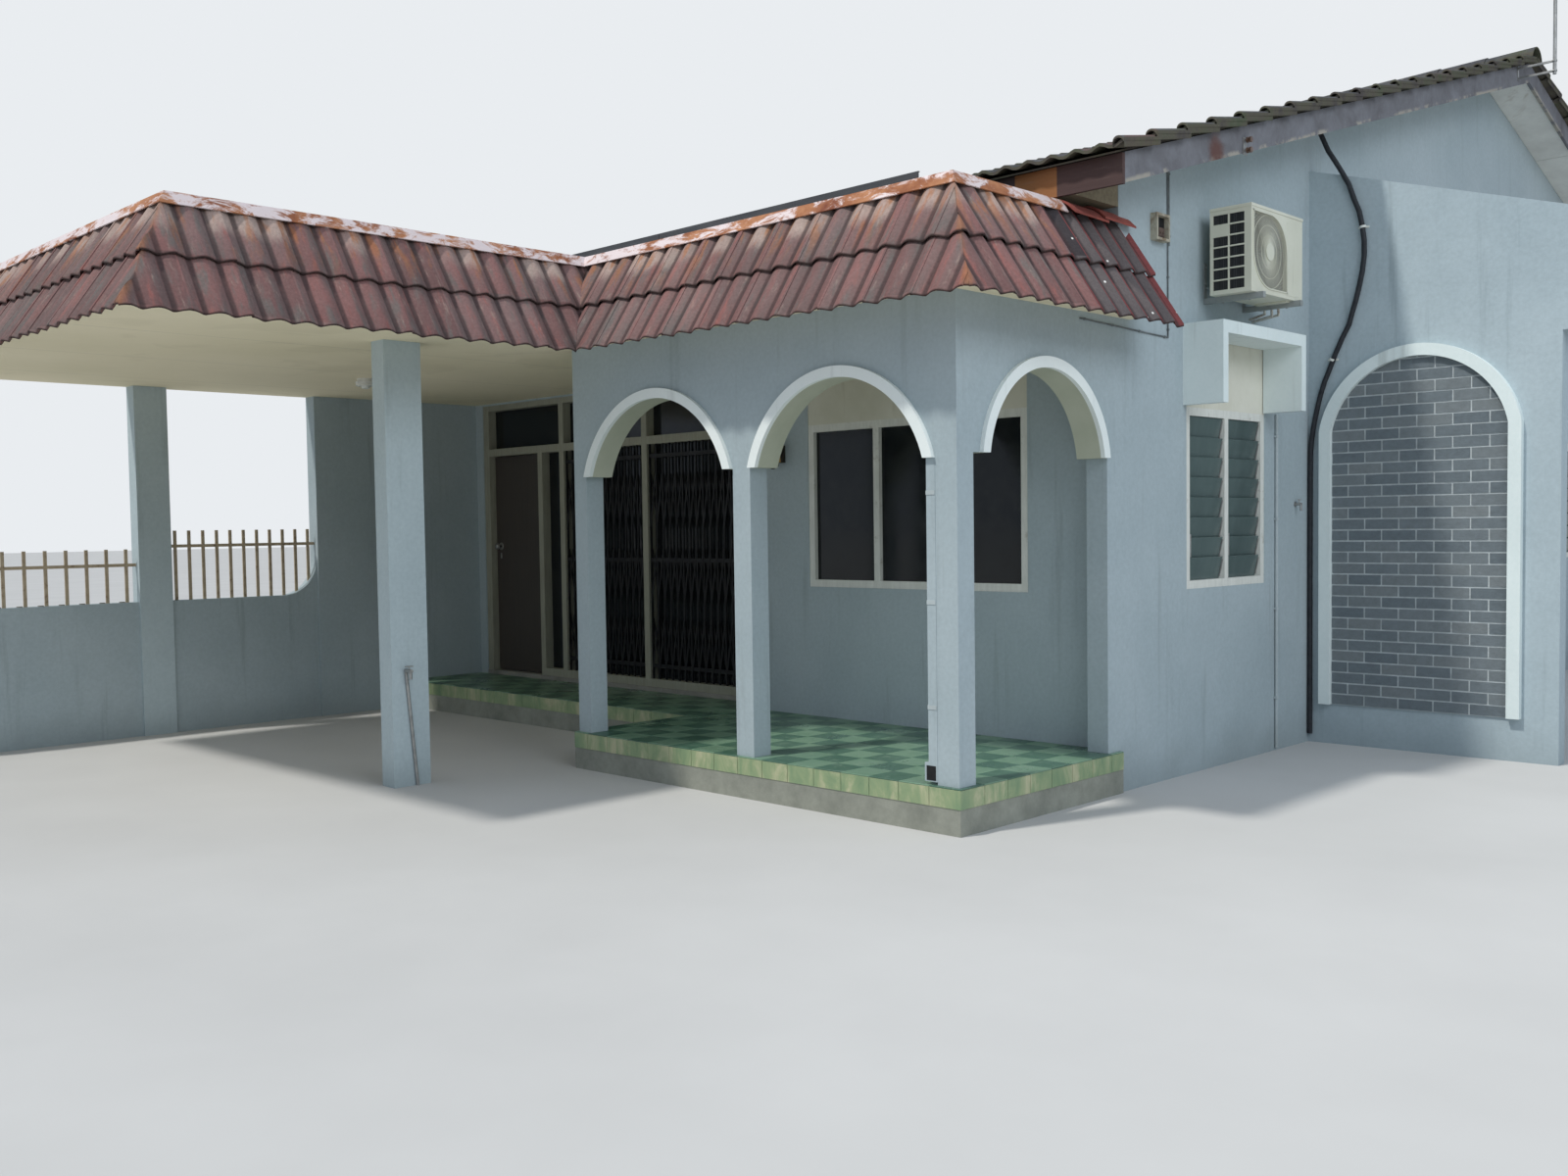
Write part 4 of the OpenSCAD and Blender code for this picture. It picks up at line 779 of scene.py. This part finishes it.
steel = mottled(
    "dull_steel", (0.5, 0.75, 0.4), (12, 7, 0.7), (0.3, (0.24, 0.24, 0.23)), (0.6, (0.42, 0.42, 0.41)),
    (0.8, (0.3, 0.2, 0.14)), bump=((45, 4), 0.3, 0.001), shine=((9, 4), 0.38, 0.65))
light, post, blades, pivot_x = (1.04 - 0.15) / 2, 0.05, 8, gable_x - 0.035
bm = bmesh.new()
for window_y in (-5.275, 1.805):
    for i in (0, 1):
        ya = window_y + post + i * (light + post)
        for y in (ya + 0.001, ya + light - 0.007):
            block(bm, (pivot_x - 0.019, y, 1.187), (pivot_x - 0.011, y + 0.006, 2.193))
            for k in range(blades):
                z = 1.255 + k * (1.01 - 0.14) / (blades - 1)
                made = block(bm, (pivot_x - 0.009, y - 0.001, z - 0.055),
                             (pivot_x + 0.011, y + 0.007, z + 0.055))
                turn_by(bm, made, (pivot_x, y, z), "Y", radians(12))
        block(bm, (pivot_x + 0.005, ya + 0.012, 1.33), (pivot_x + 0.025, ya + 0.026, 1.47))
round_edges(bm, 0.0008)
piece("louvre_clips", bm, steel, "steel")

# Entrance frame
# The posts, transoms and sill that hold the door and the gates are sawn timber, let into the
# opening and painted olive-grey, with the grain showing through.
grain = (5, 8, 0.7, 0, (7, 7, 0.8))
# Painted shade: the olive-grey is made darker for the shade in the recessed entrance.
dress(mottled("entrance_frame_paint_shaded", (0.6, 0, 0.35), grain, (0.25, 0.25, 0.195),
              (0.35, 0.35, 0.28), bump=(grain, 0.35, 0.002)), "entrance_frame")


# Entrance door
# A flush plywood leaf, brown-grey, with a round knob on a rose and a keyhole plate on both faces.
# It swings on its hinge, and what is fixed to it rides with it.
def move_by(bm, verts, way):
    bmesh.ops.translate(bm, verts=verts, vec=way)


grain = (4, 8, 0.7, 0.4, (16, 16, 0.6))
# Painted shade: the brown-grey leaf is coloured near black for the shade in the recessed entrance.
dress(mottled("door_leaf_paint_shaded", (0.5, 0, 0.4), grain, (0.043, 0.035, 0.03),
              (0.07, 0.059, 0.051), bump=(grain, 0.4, 0.002), shine=(grain, 0.4, 0.6)), "entrance_door")
knob_x, knob_z = -3.108, 1.41
bm = bmesh.new()
for y, way in ((-5.74, -1), (-5.7, 1)):
    rose = Matrix.Translation((knob_x, y + 0.002 * way, knob_z)) @ Matrix.Rotation(-way * pi / 2, 4, "X")
    bmesh.ops.create_cone(
        bm, cap_ends=True, segments=32, radius1=0.034, radius2=0.03, depth=0.004, matrix=rose)
    ball = bmesh.ops.create_uvsphere(bm, u_segments=28, v_segments=14, radius=0.0285)["verts"]
    bmesh.ops.scale(bm, verts=ball, vec=(1, 0.62, 1))
    move_by(bm, ball, (knob_x, y + 0.039 * way, knob_z))
    block(bm, (knob_x - 0.011, y - 0.002, knob_z - 0.11), (knob_x + 0.011, y + 0.002, knob_z - 0.06))
piece("door_knobs", bm, steel, "steel", body="entrance_door", smooth=True)

# Folding grilles
# Two black collapsible gates: upright bars joined on both sides by flat straps that slant from bar
# to bar at three heights, one way in front and the other way behind.
black = mottled("black_grille_paint", (0.5, 0.3, 0.4), (14, 6, 0.7), (0.3, (0.008, 0.008, 0.009)),
                (0.65, (0.017, 0.017, 0.018)), (0.85, (0.045, 0.026, 0.018)), shine=((8, 3), 0.4, 0.65))
dress(black, "folding_grilles")
low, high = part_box("folding_grilles")
bar, gaps, strap = 0.014, 13, 0.22
pitch = (1.043 - bar) / gaps
bm = bmesh.new()
for gate_x in (-2.053, -0.945):
    for z in (0.46, 1.02, 1.62):
        for k in range(gaps):
            for way, y in ((1, low.y - 0.0035), (-1, high.y + 0.0005)):
                x = gate_x + bar / 2 + pitch * k
                made = block(bm, (x - 0.008, y, z - strap), (x + 0.008, y + 0.003, z + strap))
                turn_by(bm, made, (x, y, z), "Y", atan2(pitch, 2 * strap) * way)
                move_by(bm, made, (pitch / 2, 0, 0.15))
piece("grille_straps", bm, black, "grille")

# Cooling unit
# A painted steel outdoor unit on angle brackets: a wire fan guard set in a groove with two square
# corners, ivory ribs over the black coil at the side, a lipped top and a bare service panel.
m = material("ivory_enamel", 0.35, 0, 0.5)
tone = ramp(m, noise(m, 2.5, 6, 0.6), (0.58, 0.58, 0.47), (0.68, 0.68, 0.57))
drip = noise(m, 3, 5, 0.7, 0, (8, 8, 0.7))
tone = tint(m, tone, band(m, drip, 0.6, 0.75), 0.4, (0.33, 0.31, 0.24))
enamel = finish(m, tone, ramp(m, drip, 0.28, 0.5))
dress(enamel, "cooling_unit")
low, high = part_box("cooling_unit")
face, guard = high.x, 0.22145
hub = Vector((face, low.y + 0.0276 + guard, (low.z + high.z) / 2))


def on_axis(x):
    """A place on the fan's axis, x in front of the casing's face."""
    return hub + Vector((x, 0, 0))


def spoke(turn):
    return Vector((0, cos(turn), sin(turn)))


def rod(bm, a, c, r, sides=12, r2=None):
    a, c = Vector(a), Vector(c)
    way = c - a
    at = Matrix.Translation((a + c) / 2) @ way.to_track_quat("Z", "Y").to_matrix().to_4x4()
    bmesh.ops.create_cone(bm, cap_ends=True, segments=sides, radius1=r,
                          radius2=r if r2 is None else r2, depth=way.length, matrix=at)


def hoop(bm, centre, axis, r, wide, deep, steps=48, start=None, angle=2 * pi):
    """A flat ring, or an arc from start on: a small rectangle spun round the axis."""
    axis = Vector(axis)
    way = start or axis.orthogonal().normalized()
    made = bmesh.ops.create_grid(bm, x_segments=1, y_segments=1, size=0.5)["verts"]
    for v in made:
        v.co = Vector(centre) + way * (r + v.co.x * wide) + axis * v.co.y * deep
    bmesh.ops.spin(bm, geom=made + faces_of(made), cent=centre, axis=axis, dvec=(0, 0, 0),
                   angle=angle, steps=steps, use_merge=start is None)


def disc(bm, centre, r, sides, thick):
    at = Matrix.Translation(centre) @ Matrix.Rotation(pi / 2, 4, "Y")
    made = bmesh.ops.create_circle(bm, cap_ends=True, segments=sides, radius=r, matrix=at)["verts"]
    bmesh.ops.solidify(bm, geom=faces_of(made), thickness=thick)


bm = bmesh.new()
wires = 108
for k in range(wires):
    way = spoke(2 * pi * k / wires)
    reach = guard / max(abs(way.y), abs(way.z)) if way.y * way.z < 0 else guard
    rod(bm, on_axis(-0.006) + way * 0.045, on_axis(-0.006) + way * (reach - 0.002), 0.0012, 5)
for r in (0.1, 0.16, 0.2195):
    hoop(bm, on_axis(-0.008), (1, 0, 0), r, 0.003, 0.003)
for start in (0, pi):
    hoop(bm, on_axis(0.001), (1, 0, 0), guard + 0.002, 0.008, 0.008, 20, spoke(start), pi / 2)
    for turn in (pi, pi / 2):
        away = spoke(turn + start)
        far = Vector((0, -away.z, away.y)) * (1 if turn == pi / 2 else -1)
        a = on_axis(-0.003) + away * (guard - 0.002) - far * 0.001
        c = on_axis(0.005) + away * (guard + 0.006) + far * (guard + 0.006)
        block(bm, [min(p, q) for p, q in zip(a, c)], [max(p, q) for p, q in zip(a, c)])
piece("fan_guard", bm, enamel, "unit_shell")
bm = bmesh.new()
disc(bm, on_axis(0.001), 0.052, 48, 0.006)
block(bm, (low.x - 0.001, low.y - 0.004, high.z - 0.014), (face + 0.004, high.y + 0.004, high.z + 0.004))
block(bm, (face - 0.001, low.y + 0.475, low.z + 0.02), (face + 0.0015, high.y - 0.004, high.z - 0.05))
for y in (low.y + 0.09, low.y + 0.53):
    block(bm, (low.x + 0.03, y, low.z - 0.01), (face - 0.03, y + 0.05, low.z + 0.004))
for y, z in ((low.y + 0.49, low.z + 0.03), (high.y - 0.016, low.z + 0.03), (low.y + 0.012, low.z + 0.02),
             (low.y + 0.012, high.z - 0.03), (high.y - 0.016, high.z - 0.06)):
    rod(bm, (face, y, z), (face + 0.003, y, z), 0.005, 10)
round_edges(bm, 0.001)
piece("unit_casing_parts", bm, enamel, "unit_shell", smooth=True)
m = material("black_coil", 0.6, 0.2, 0.3)
fins = node(
    m, "TexWave",
    {"Vector": place(m, (1, 1, 0.2), turn=(0, 0, 0.7)), "Scale": 60, "Distortion": 0.6}).outputs["Fac"]
coil = finish(m, ramp(m, fins, (0.2, (0.012, 0.013, 0.014)), (0.8, (0.05, 0.052, 0.055))))
fan, bm = bmesh.new(), bmesh.new()
disc(fan, on_axis(-0.0235), guard - 0.003, 64, 0.001)
for turn in (pi, 0):
    made = block(fan, (face - 0.0248, -guard + 0.003, 0), (face - 0.0232, 0, guard - 0.003))
    turn_by(fan, made, (0, 0, 0), "X", turn)
    move_by(fan, made, (0, hub.y, hub.z))
blades = 5
for k in range(blades):
    made = bmesh.ops.create_circle(fan, cap_ends=True, segments=20, radius=0.072)["verts"]
    bmesh.ops.scale(fan, verts=made, vec=(1.15, 0.62, 1))
    turn_by(fan, made, (0, 0, 0), "X", 0.1)
    move_by(fan, made, (0.115, 0, 0))
    turn_by(fan, made, (0, 0, 0), "Z", 2 * pi * k / blades)
    turn_by(fan, made, (0, 0, 0), "Y", pi / 2)
    move_by(fan, made, on_axis(-0.0155))
    bmesh.ops.solidify(fan, geom=faces_of(made), thickness=0.001)
for i in (0, 1):
    for k in range(7):
        if i == 0 and k == 5:  # the casing is blank here
            continue
        x0, z0, y0 = low.x + 0.02 + i * 0.1054, low.z + 0.02575 + k * 0.06548, low.y + 0.0055
        block(bm, (x0 + 0.0005, low.y + 0.007, z0 + 0.0005), (x0 + 0.0949, low.y + 0.0088, z0 + 0.056))
        for j in range(8):
            x = x0 + 0.0053 + j * 0.012
            rod(bm, (x, y0, z0 + 0.001), (x, y0, z0 + 0.0555), 0.0009, 5)
piece("unit_side_coil", bm, coil, "grille")
grey_fan = mottled("grey_fan", (0.6, 0, 0.3), (9, 5, 0.7), (0.125, 0.125, 0.11), (0.2, 0.2, 0.18))
piece("unit_fan", fan, grey_fan, "grille")

# Unit bracket
# Two grey steel brackets, each bolted to the wall in three places, with a flat stay from its leg
# to its arm and the bolts of the unit's feet under the arm.
bracket_grey = mottled(
    "grey_bracket_paint", (0.6, 0.3, 0.35),
    (7, 7, 0.7), (0.3, (0.26, 0.28, 0.275)), (0.65, (0.36, 0.385, 0.38)), (0.85, (0.27, 0.17, 0.11)))
dress(bracket_grey, "unit_bracket")
low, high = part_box("unit_bracket")
bm = bmesh.new()
for y in (low.y, high.y - 0.034):
    mid = y + 0.017
    for z in (low.z + 0.018, low.z + 0.128, high.z - 0.022):
        rod(bm, (low.x + 0.005, mid, z), (low.x + 0.014, mid, z), 0.008, 6)
    block(bm, (low.x + 0.0065, y + 0.001, low.z + 0.031), (low.x + 0.35, y + 0.004, low.z + 0.0335))
    for x in (low.x + 0.12, low.x + 0.29):
        rod(bm, (x, mid, low.z - 0.006), (x, mid, low.z + 0.001), 0.008, 6)
    heel = Vector((low.x + 0.002, mid, low.z + 0.1))
    made = block(bm, heel - Vector((0, 0.0035, 0)), heel + Vector((0.218, 0.0035, 0.004)))
    turn_by(bm, made, heel, "Y", radians(22))
piece("bracket_bolts", bm, bracket_grey, "steel")

# Pipe stubs of the unit
# A pair of copper pipes in pale lagging and a drain stub leave the unit's foot, bend and enter
# the wall under it.
bm = bmesh.new()
for k, (y, z) in enumerate(((-4.47, 2.905), (-4.43, 2.895), (-4.4, 2.9))):
    x = 3.62 + 0.03 * k
    rod(bm, (x, y, z + 0.02), (x, y + 0.005, z - 0.045), 0.008)
    rod(bm, (x, y + 0.005, z - 0.04), (gable_x - 0.005, y + 0.02, z - 0.062), 0.008)
lagging = mottled(
    "pale_lagging", (0.8, 0, 0.2), (18, 6, 0.7), (0.35, (0.26, 0.15, 0.09)), (0.55, (0.6, 0.59, 0.54)))
piece("unit_pipe_stubs", bm, lagging, "white_paint", smooth=True)

# Meter box
# A small open box of folded sheet, cream gone brown, with a dark board inside that carries a brown
# moulded fuse block.
dress(mottled("meter_box_paint", (0.7, 0, 0.3), (15, 7, 0.7), (0.35, (0.2, 0.15, 0.1)),
              (0.55, (0.42, 0.4, 0.32))), "meter_box")
low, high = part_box("meter_box")
bm = bmesh.new()
rim = Vector((0, 0.0155, 0.0155))
block(bm, low + Vector((0.0115, 0, 0)) + rim, Vector((low.x + 0.014, high.y, high.z)) - rim)
piece("meter_board", bm, black, "grille")
bm = bmesh.new()
block(bm, low + Vector((0.013, 0.045, 0.022)), low + Vector((0.034, 0.105, 0.075)))
for y in (low.y + 0.06, low.y + 0.09):
    rod(bm, (low.x + 0.03, y, low.z + 0.048), (low.x + 0.038, y, low.z + 0.048), 0.008)
round_edges(bm, 0.001)
moulding = mottled(
    "brown_moulding", (0.5, 0, 0.4), (20, 5, 0.7), (0.055, 0.032, 0.026), (0.12, 0.08, 0.06))
piece("meter_fuses", bm, moulding, "grille")

# Conduits on the gable
# Two thin cables in saddles come down past the meter box, one runs under the side of the skirt, and
# a painted pipe drops from the louvre window's hood to the foot of the wall.
cable = mottled("cable_sheath", (0.7, 0, 0.25), (12, 5, 0.7), (0.085, 0.095, 0.098), (0.2, 0.225, 0.23))
cable_r, cable_x, cable_top = 0.0048, gable_x + 0.005, 3.655
runs = (((cable_x + 0.0005, -5.502, cable_top), (cable_x + 0.0005, -5.502, 2.64)),
        ((cable_x, -5.488, cable_top), (cable_x, -5.486, 3.18)),
        ((cable_x, -6.45, 2.664), (cable_x, -5.499, 2.64)))
bm = bmesh.new()
for a, c in runs:
    rod(bm, a, c, cable_r, 8)
    a, c = Vector(a), Vector(c)
    steps = max(1, int((c - a).length / 0.3))
    for k in range(steps + 1):
        at = a.lerp(c, (k + 0.15) / (steps + 0.3))
        block(bm, at - Vector((cable_r, 0.007, 0.006)), at + Vector((0.0062, 0.007, 0.006)))
piece("gable_cables", bm, cable, "wall_paint", smooth=True)
conduit_coat = render_coat(
    "conduit_paint", (0.46, 0.52, 0.53), (0.38, 0.43, 0.44), (0.25, 0.27, 0.26), 0.001)
pipe_x, pipe_y = gable_x + 0.011, -4.082
bm = bmesh.new()
rod(bm, (pipe_x, pipe_y, 2.25), (pipe_x, pipe_y, 0.02), 0.01)
for z in (0.35, 0.95, 1.55, 2.1):
    block(bm, (pipe_x - 0.0115, pipe_y - 0.018, z), (pipe_x + 0.0105, pipe_y + 0.018, z + 0.014))
piece("gable_pipe", bm, conduit_coat, "wall_paint", smooth=True)

# Garden tap
# A small steel bib tap on the gable beside the wing wall: a pipe with its rose, a spout that
# turns down and a flat handle on a spindle. The riser on the column is of the same steel.
tap = Vector((gable_x, -3.778, 1.656))
bm = bmesh.new()
for a, c, r, sides in (
        ((-0.001, 0, 0), (0.05, 0, 0), 0.009, 12), ((0.043, 0, 0.004), (0.043, 0, -0.046), 0.008, 12),
        ((0.03, 0, 0.004), (0.03, 0, 0.029), 0.005, 12), ((-0.001, 0, 0), (0.003, 0, 0), 0.018, 20)):
    rod(bm, tap + Vector(a), tap + Vector(c), r, sides)
block(bm, tap + Vector((0.026, -0.022, 0.027)), tap + Vector((0.034, 0.022, 0.034)))
piece("garden_tap", bm, steel, "steel", smooth=True)
dress(steel, "column_tap")

# Water pipe and its clips
# The stiff black water pipe comes down the gable and the wing wall. Two saddles of white plastic,
# each on its own base, hold it to the wing wall.
grain = (22, 5, 0.7)
dress(mottled("black_rubber", (0.6, 0, 0.3), grain, (0.3, (0.012, 0.014, 0.018)),
              (0.75, (0.035, 0.038, 0.044)), bump=(grain, 0.5, 0.002)), "water_pipe")
bm = bmesh.new()
for x, z, lean in ((3.887, 3.502, 0.15), (3.682, 2.637, -0.45)):
    hoop(bm, (x, -3.5813, z), (-sin(lean), 0, cos(lean)), 0.0195, 0.003, 0.016, 28)
    block(bm, (x - 0.036, -3.569, z - 0.007), (x + 0.036, -3.564, z + 0.007))
piece("pipe_clips", bm, frame_coat, "white_paint")

# Service bracket on the barge
# A galvanised steel plate is screwed to the barge board. Two pins stand out of it, each with a
# grooved knob of brown glazed porcelain.
plate_x, knob_y, heights = 3.846, -5.19, (3.785, 3.725)
bm = bmesh.new()
block(bm, (plate_x - 0.005, knob_y - 0.025, 3.7), (plate_x, knob_y + 0.025, 3.8))
for z in heights:
    rod(bm, (plate_x, knob_y, z), (plate_x + 0.034, knob_y, z), 0.006)
piece("service_bracket", bm, steel, "steel")
bm = bmesh.new()
for z in heights:
    for out, r in ((0.011, 0.017), (0.021, 0.011), (0.031, 0.017)):
        rod(bm, (plate_x + out, knob_y, z), (plate_x + out + 0.01, knob_y, z), r, 20)
porcelain = mottled("brown_porcelain", (0.3, 0, 0.5), (30,), (0.1, 0.055, 0.035), (0.17, 0.1, 0.07))
piece("service_knobs", bm, porcelain, "lamp", smooth=True)

# Porch lamps
# A six-sided black lantern with amber panes on the bedroom wall, and a round white batten holder
# with its shade ring under the car porch slab.
m = material("lamp_paint", 0.45, 0, 0.4)
on_wall = calc(m, "GREATER_THAN", axis_of(m, 1), -6.8)
speck = noise(m, 20, 5)
tone = mix(m, on_wall, ramp(m, speck, (0.6, 0.6, 0.55), (0.72, 0.72, 0.68)),
           ramp(m, speck, (0.018, 0.016, 0.014), (0.045, 0.038, 0.03)))
dress(finish(m, tone), "porch_lamps")
lantern, sides = Vector((0.82, -6.135, 2.06)), 6
bm = bmesh.new()
for k in range(sides):
    made = block(bm, (-0.0215, -0.0015, -0.052), (0.0215, 0.0015, 0.038))
    turn_by(bm, made, (0, 0, 0), "X", -0.13)
    move_by(bm, made, (0, -0.0455, -0.008))
    turn_by(bm, made, (0, 0, 0), "Z", 2 * pi * (k + 0.5) / sides)
    move_by(bm, made, lantern)
amber = mottled("amber_pane", (0.2, 0, 0.5), (25,), (0.4, 0.22, 0.05), (0.58, 0.38, 0.12))
piece("lantern_panes", bm, amber, "lamp")


def above(at, z):
    return at + Vector((0, 0, z))


bm = bmesh.new()
rod(bm, above(lantern, 0.088), above(lantern, 0.105), 0.009, 16)
bmesh.ops.create_uvsphere(
    bm, u_segments=16, v_segments=8, radius=0.01, matrix=Matrix.Translation(above(lantern, 0.112)))
rod(bm, above(lantern, -0.106), above(lantern, -0.09), 0.01, 16, 0.03)
hoop(bm, lantern + Vector((0, 0.066, 0.02)), (0, 1, 0), 0.022, 0.004, 0.004, 24)
piece("lantern_trim", bm, black, "lamp", smooth=True)
holder = Vector((-1.88, -7.74, 2.649))
bm = bmesh.new()
hoop(bm, above(holder, 0.008), (0, 0, 1), 0.066, 0.01, 0.01, 40)
for k in range(3):
    turn = 2 * pi * k / 3
    screw = holder + 0.05 * Vector((cos(turn), sin(turn), 0))
    rod(bm, above(screw, -0.004), above(screw, 0.004), 0.005)
rod(bm, above(holder, -0.018), above(holder, 0.004), 0.026, 24, 0.034)
piece("ceiling_lamp_parts", bm, frame_coat, "lamp", smooth=True)

# Downpipe
# A square pipe runs down beside the corner pier, boxed in cement and painted like the walls. It
# has three clips and an open mouth at its foot; black blocks in the mouth are painted shade.
dress(wall_coat, "downpipe")
low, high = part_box("downpipe")
# Painted shade: two black blocks stand for the dark inside of the open mouth.
bm = bmesh.new()
block(bm, (low.x - 0.0015, low.y + 0.008, low.z + 0.006), (low.x + 0.004, high.y - 0.008, low.z + 0.08))
block(bm, (low.x + 0.012, low.y - 0.0015, low.z + 0.006), (high.x - 0.01, low.y + 0.004, low.z + 0.08))
piece("downpipe_mouth_shade", bm, black, "black_pipe")
bm = bmesh.new()
for z in (0.62, 1.15, 1.7):
    block(bm, (high.x - 0.058, low.y - 0.003, z), (high.x - 0.001, low.y + 0.0005, z + 0.022))
round_edges(bm, 0.0008)
piece("downpipe_clips", bm, conduit_coat, "wall_paint")

# Fence railing
# Flat steel pickets and one rail in flaking tan paint, let into the wall's top with a ring of
# mortar round each foot.
dress(mottled("tan_railing_paint", (0.6, 0.1, 0.35), (26, 7, 0.7), (0.3, (0.2, 0.13, 0.08)),
              (0.42, (0.4, 0.32, 0.22)), (0.7, (0.5, 0.42, 0.3))), "fence_railing")
low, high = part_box("fence_railing")
bm = bmesh.new()
for k in range(11):
    foot = Vector(((low.x + high.x) / 2, -10.43 + 0.1449 * k, 1.041))
    rod(bm, foot, above(foot, 0.006), 0.022, 10)
piece("picket_grout", bm, cement, "concrete")

# Aerial mast
# A bare galvanised pole with a cap, clamped to two flat arms on the barge board by split rings with
# a pair of bolts each.
dress(steel, "aerial_mast")
low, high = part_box("aerial_mast")
bm = bmesh.new()
pole = Vector((4.12, -0.3, 0))
for z in (5.1986, 5.2786):
    hoop(bm, above(pole, z), (0, 0, 1), 0.0165, 0.004, 0.012, 24)
    for y in (-0.02, 0.02):
        rod(bm, pole + Vector((-0.03, y, z)), pole + Vector((0.004, y, z)), 0.003, 8)
rod(bm, above(pole, high.z - 0.004), above(pole, high.z + 0.006), 0.016, 16, 0.012)
piece("mast_clamps", bm, steel, "steel", smooth=True)
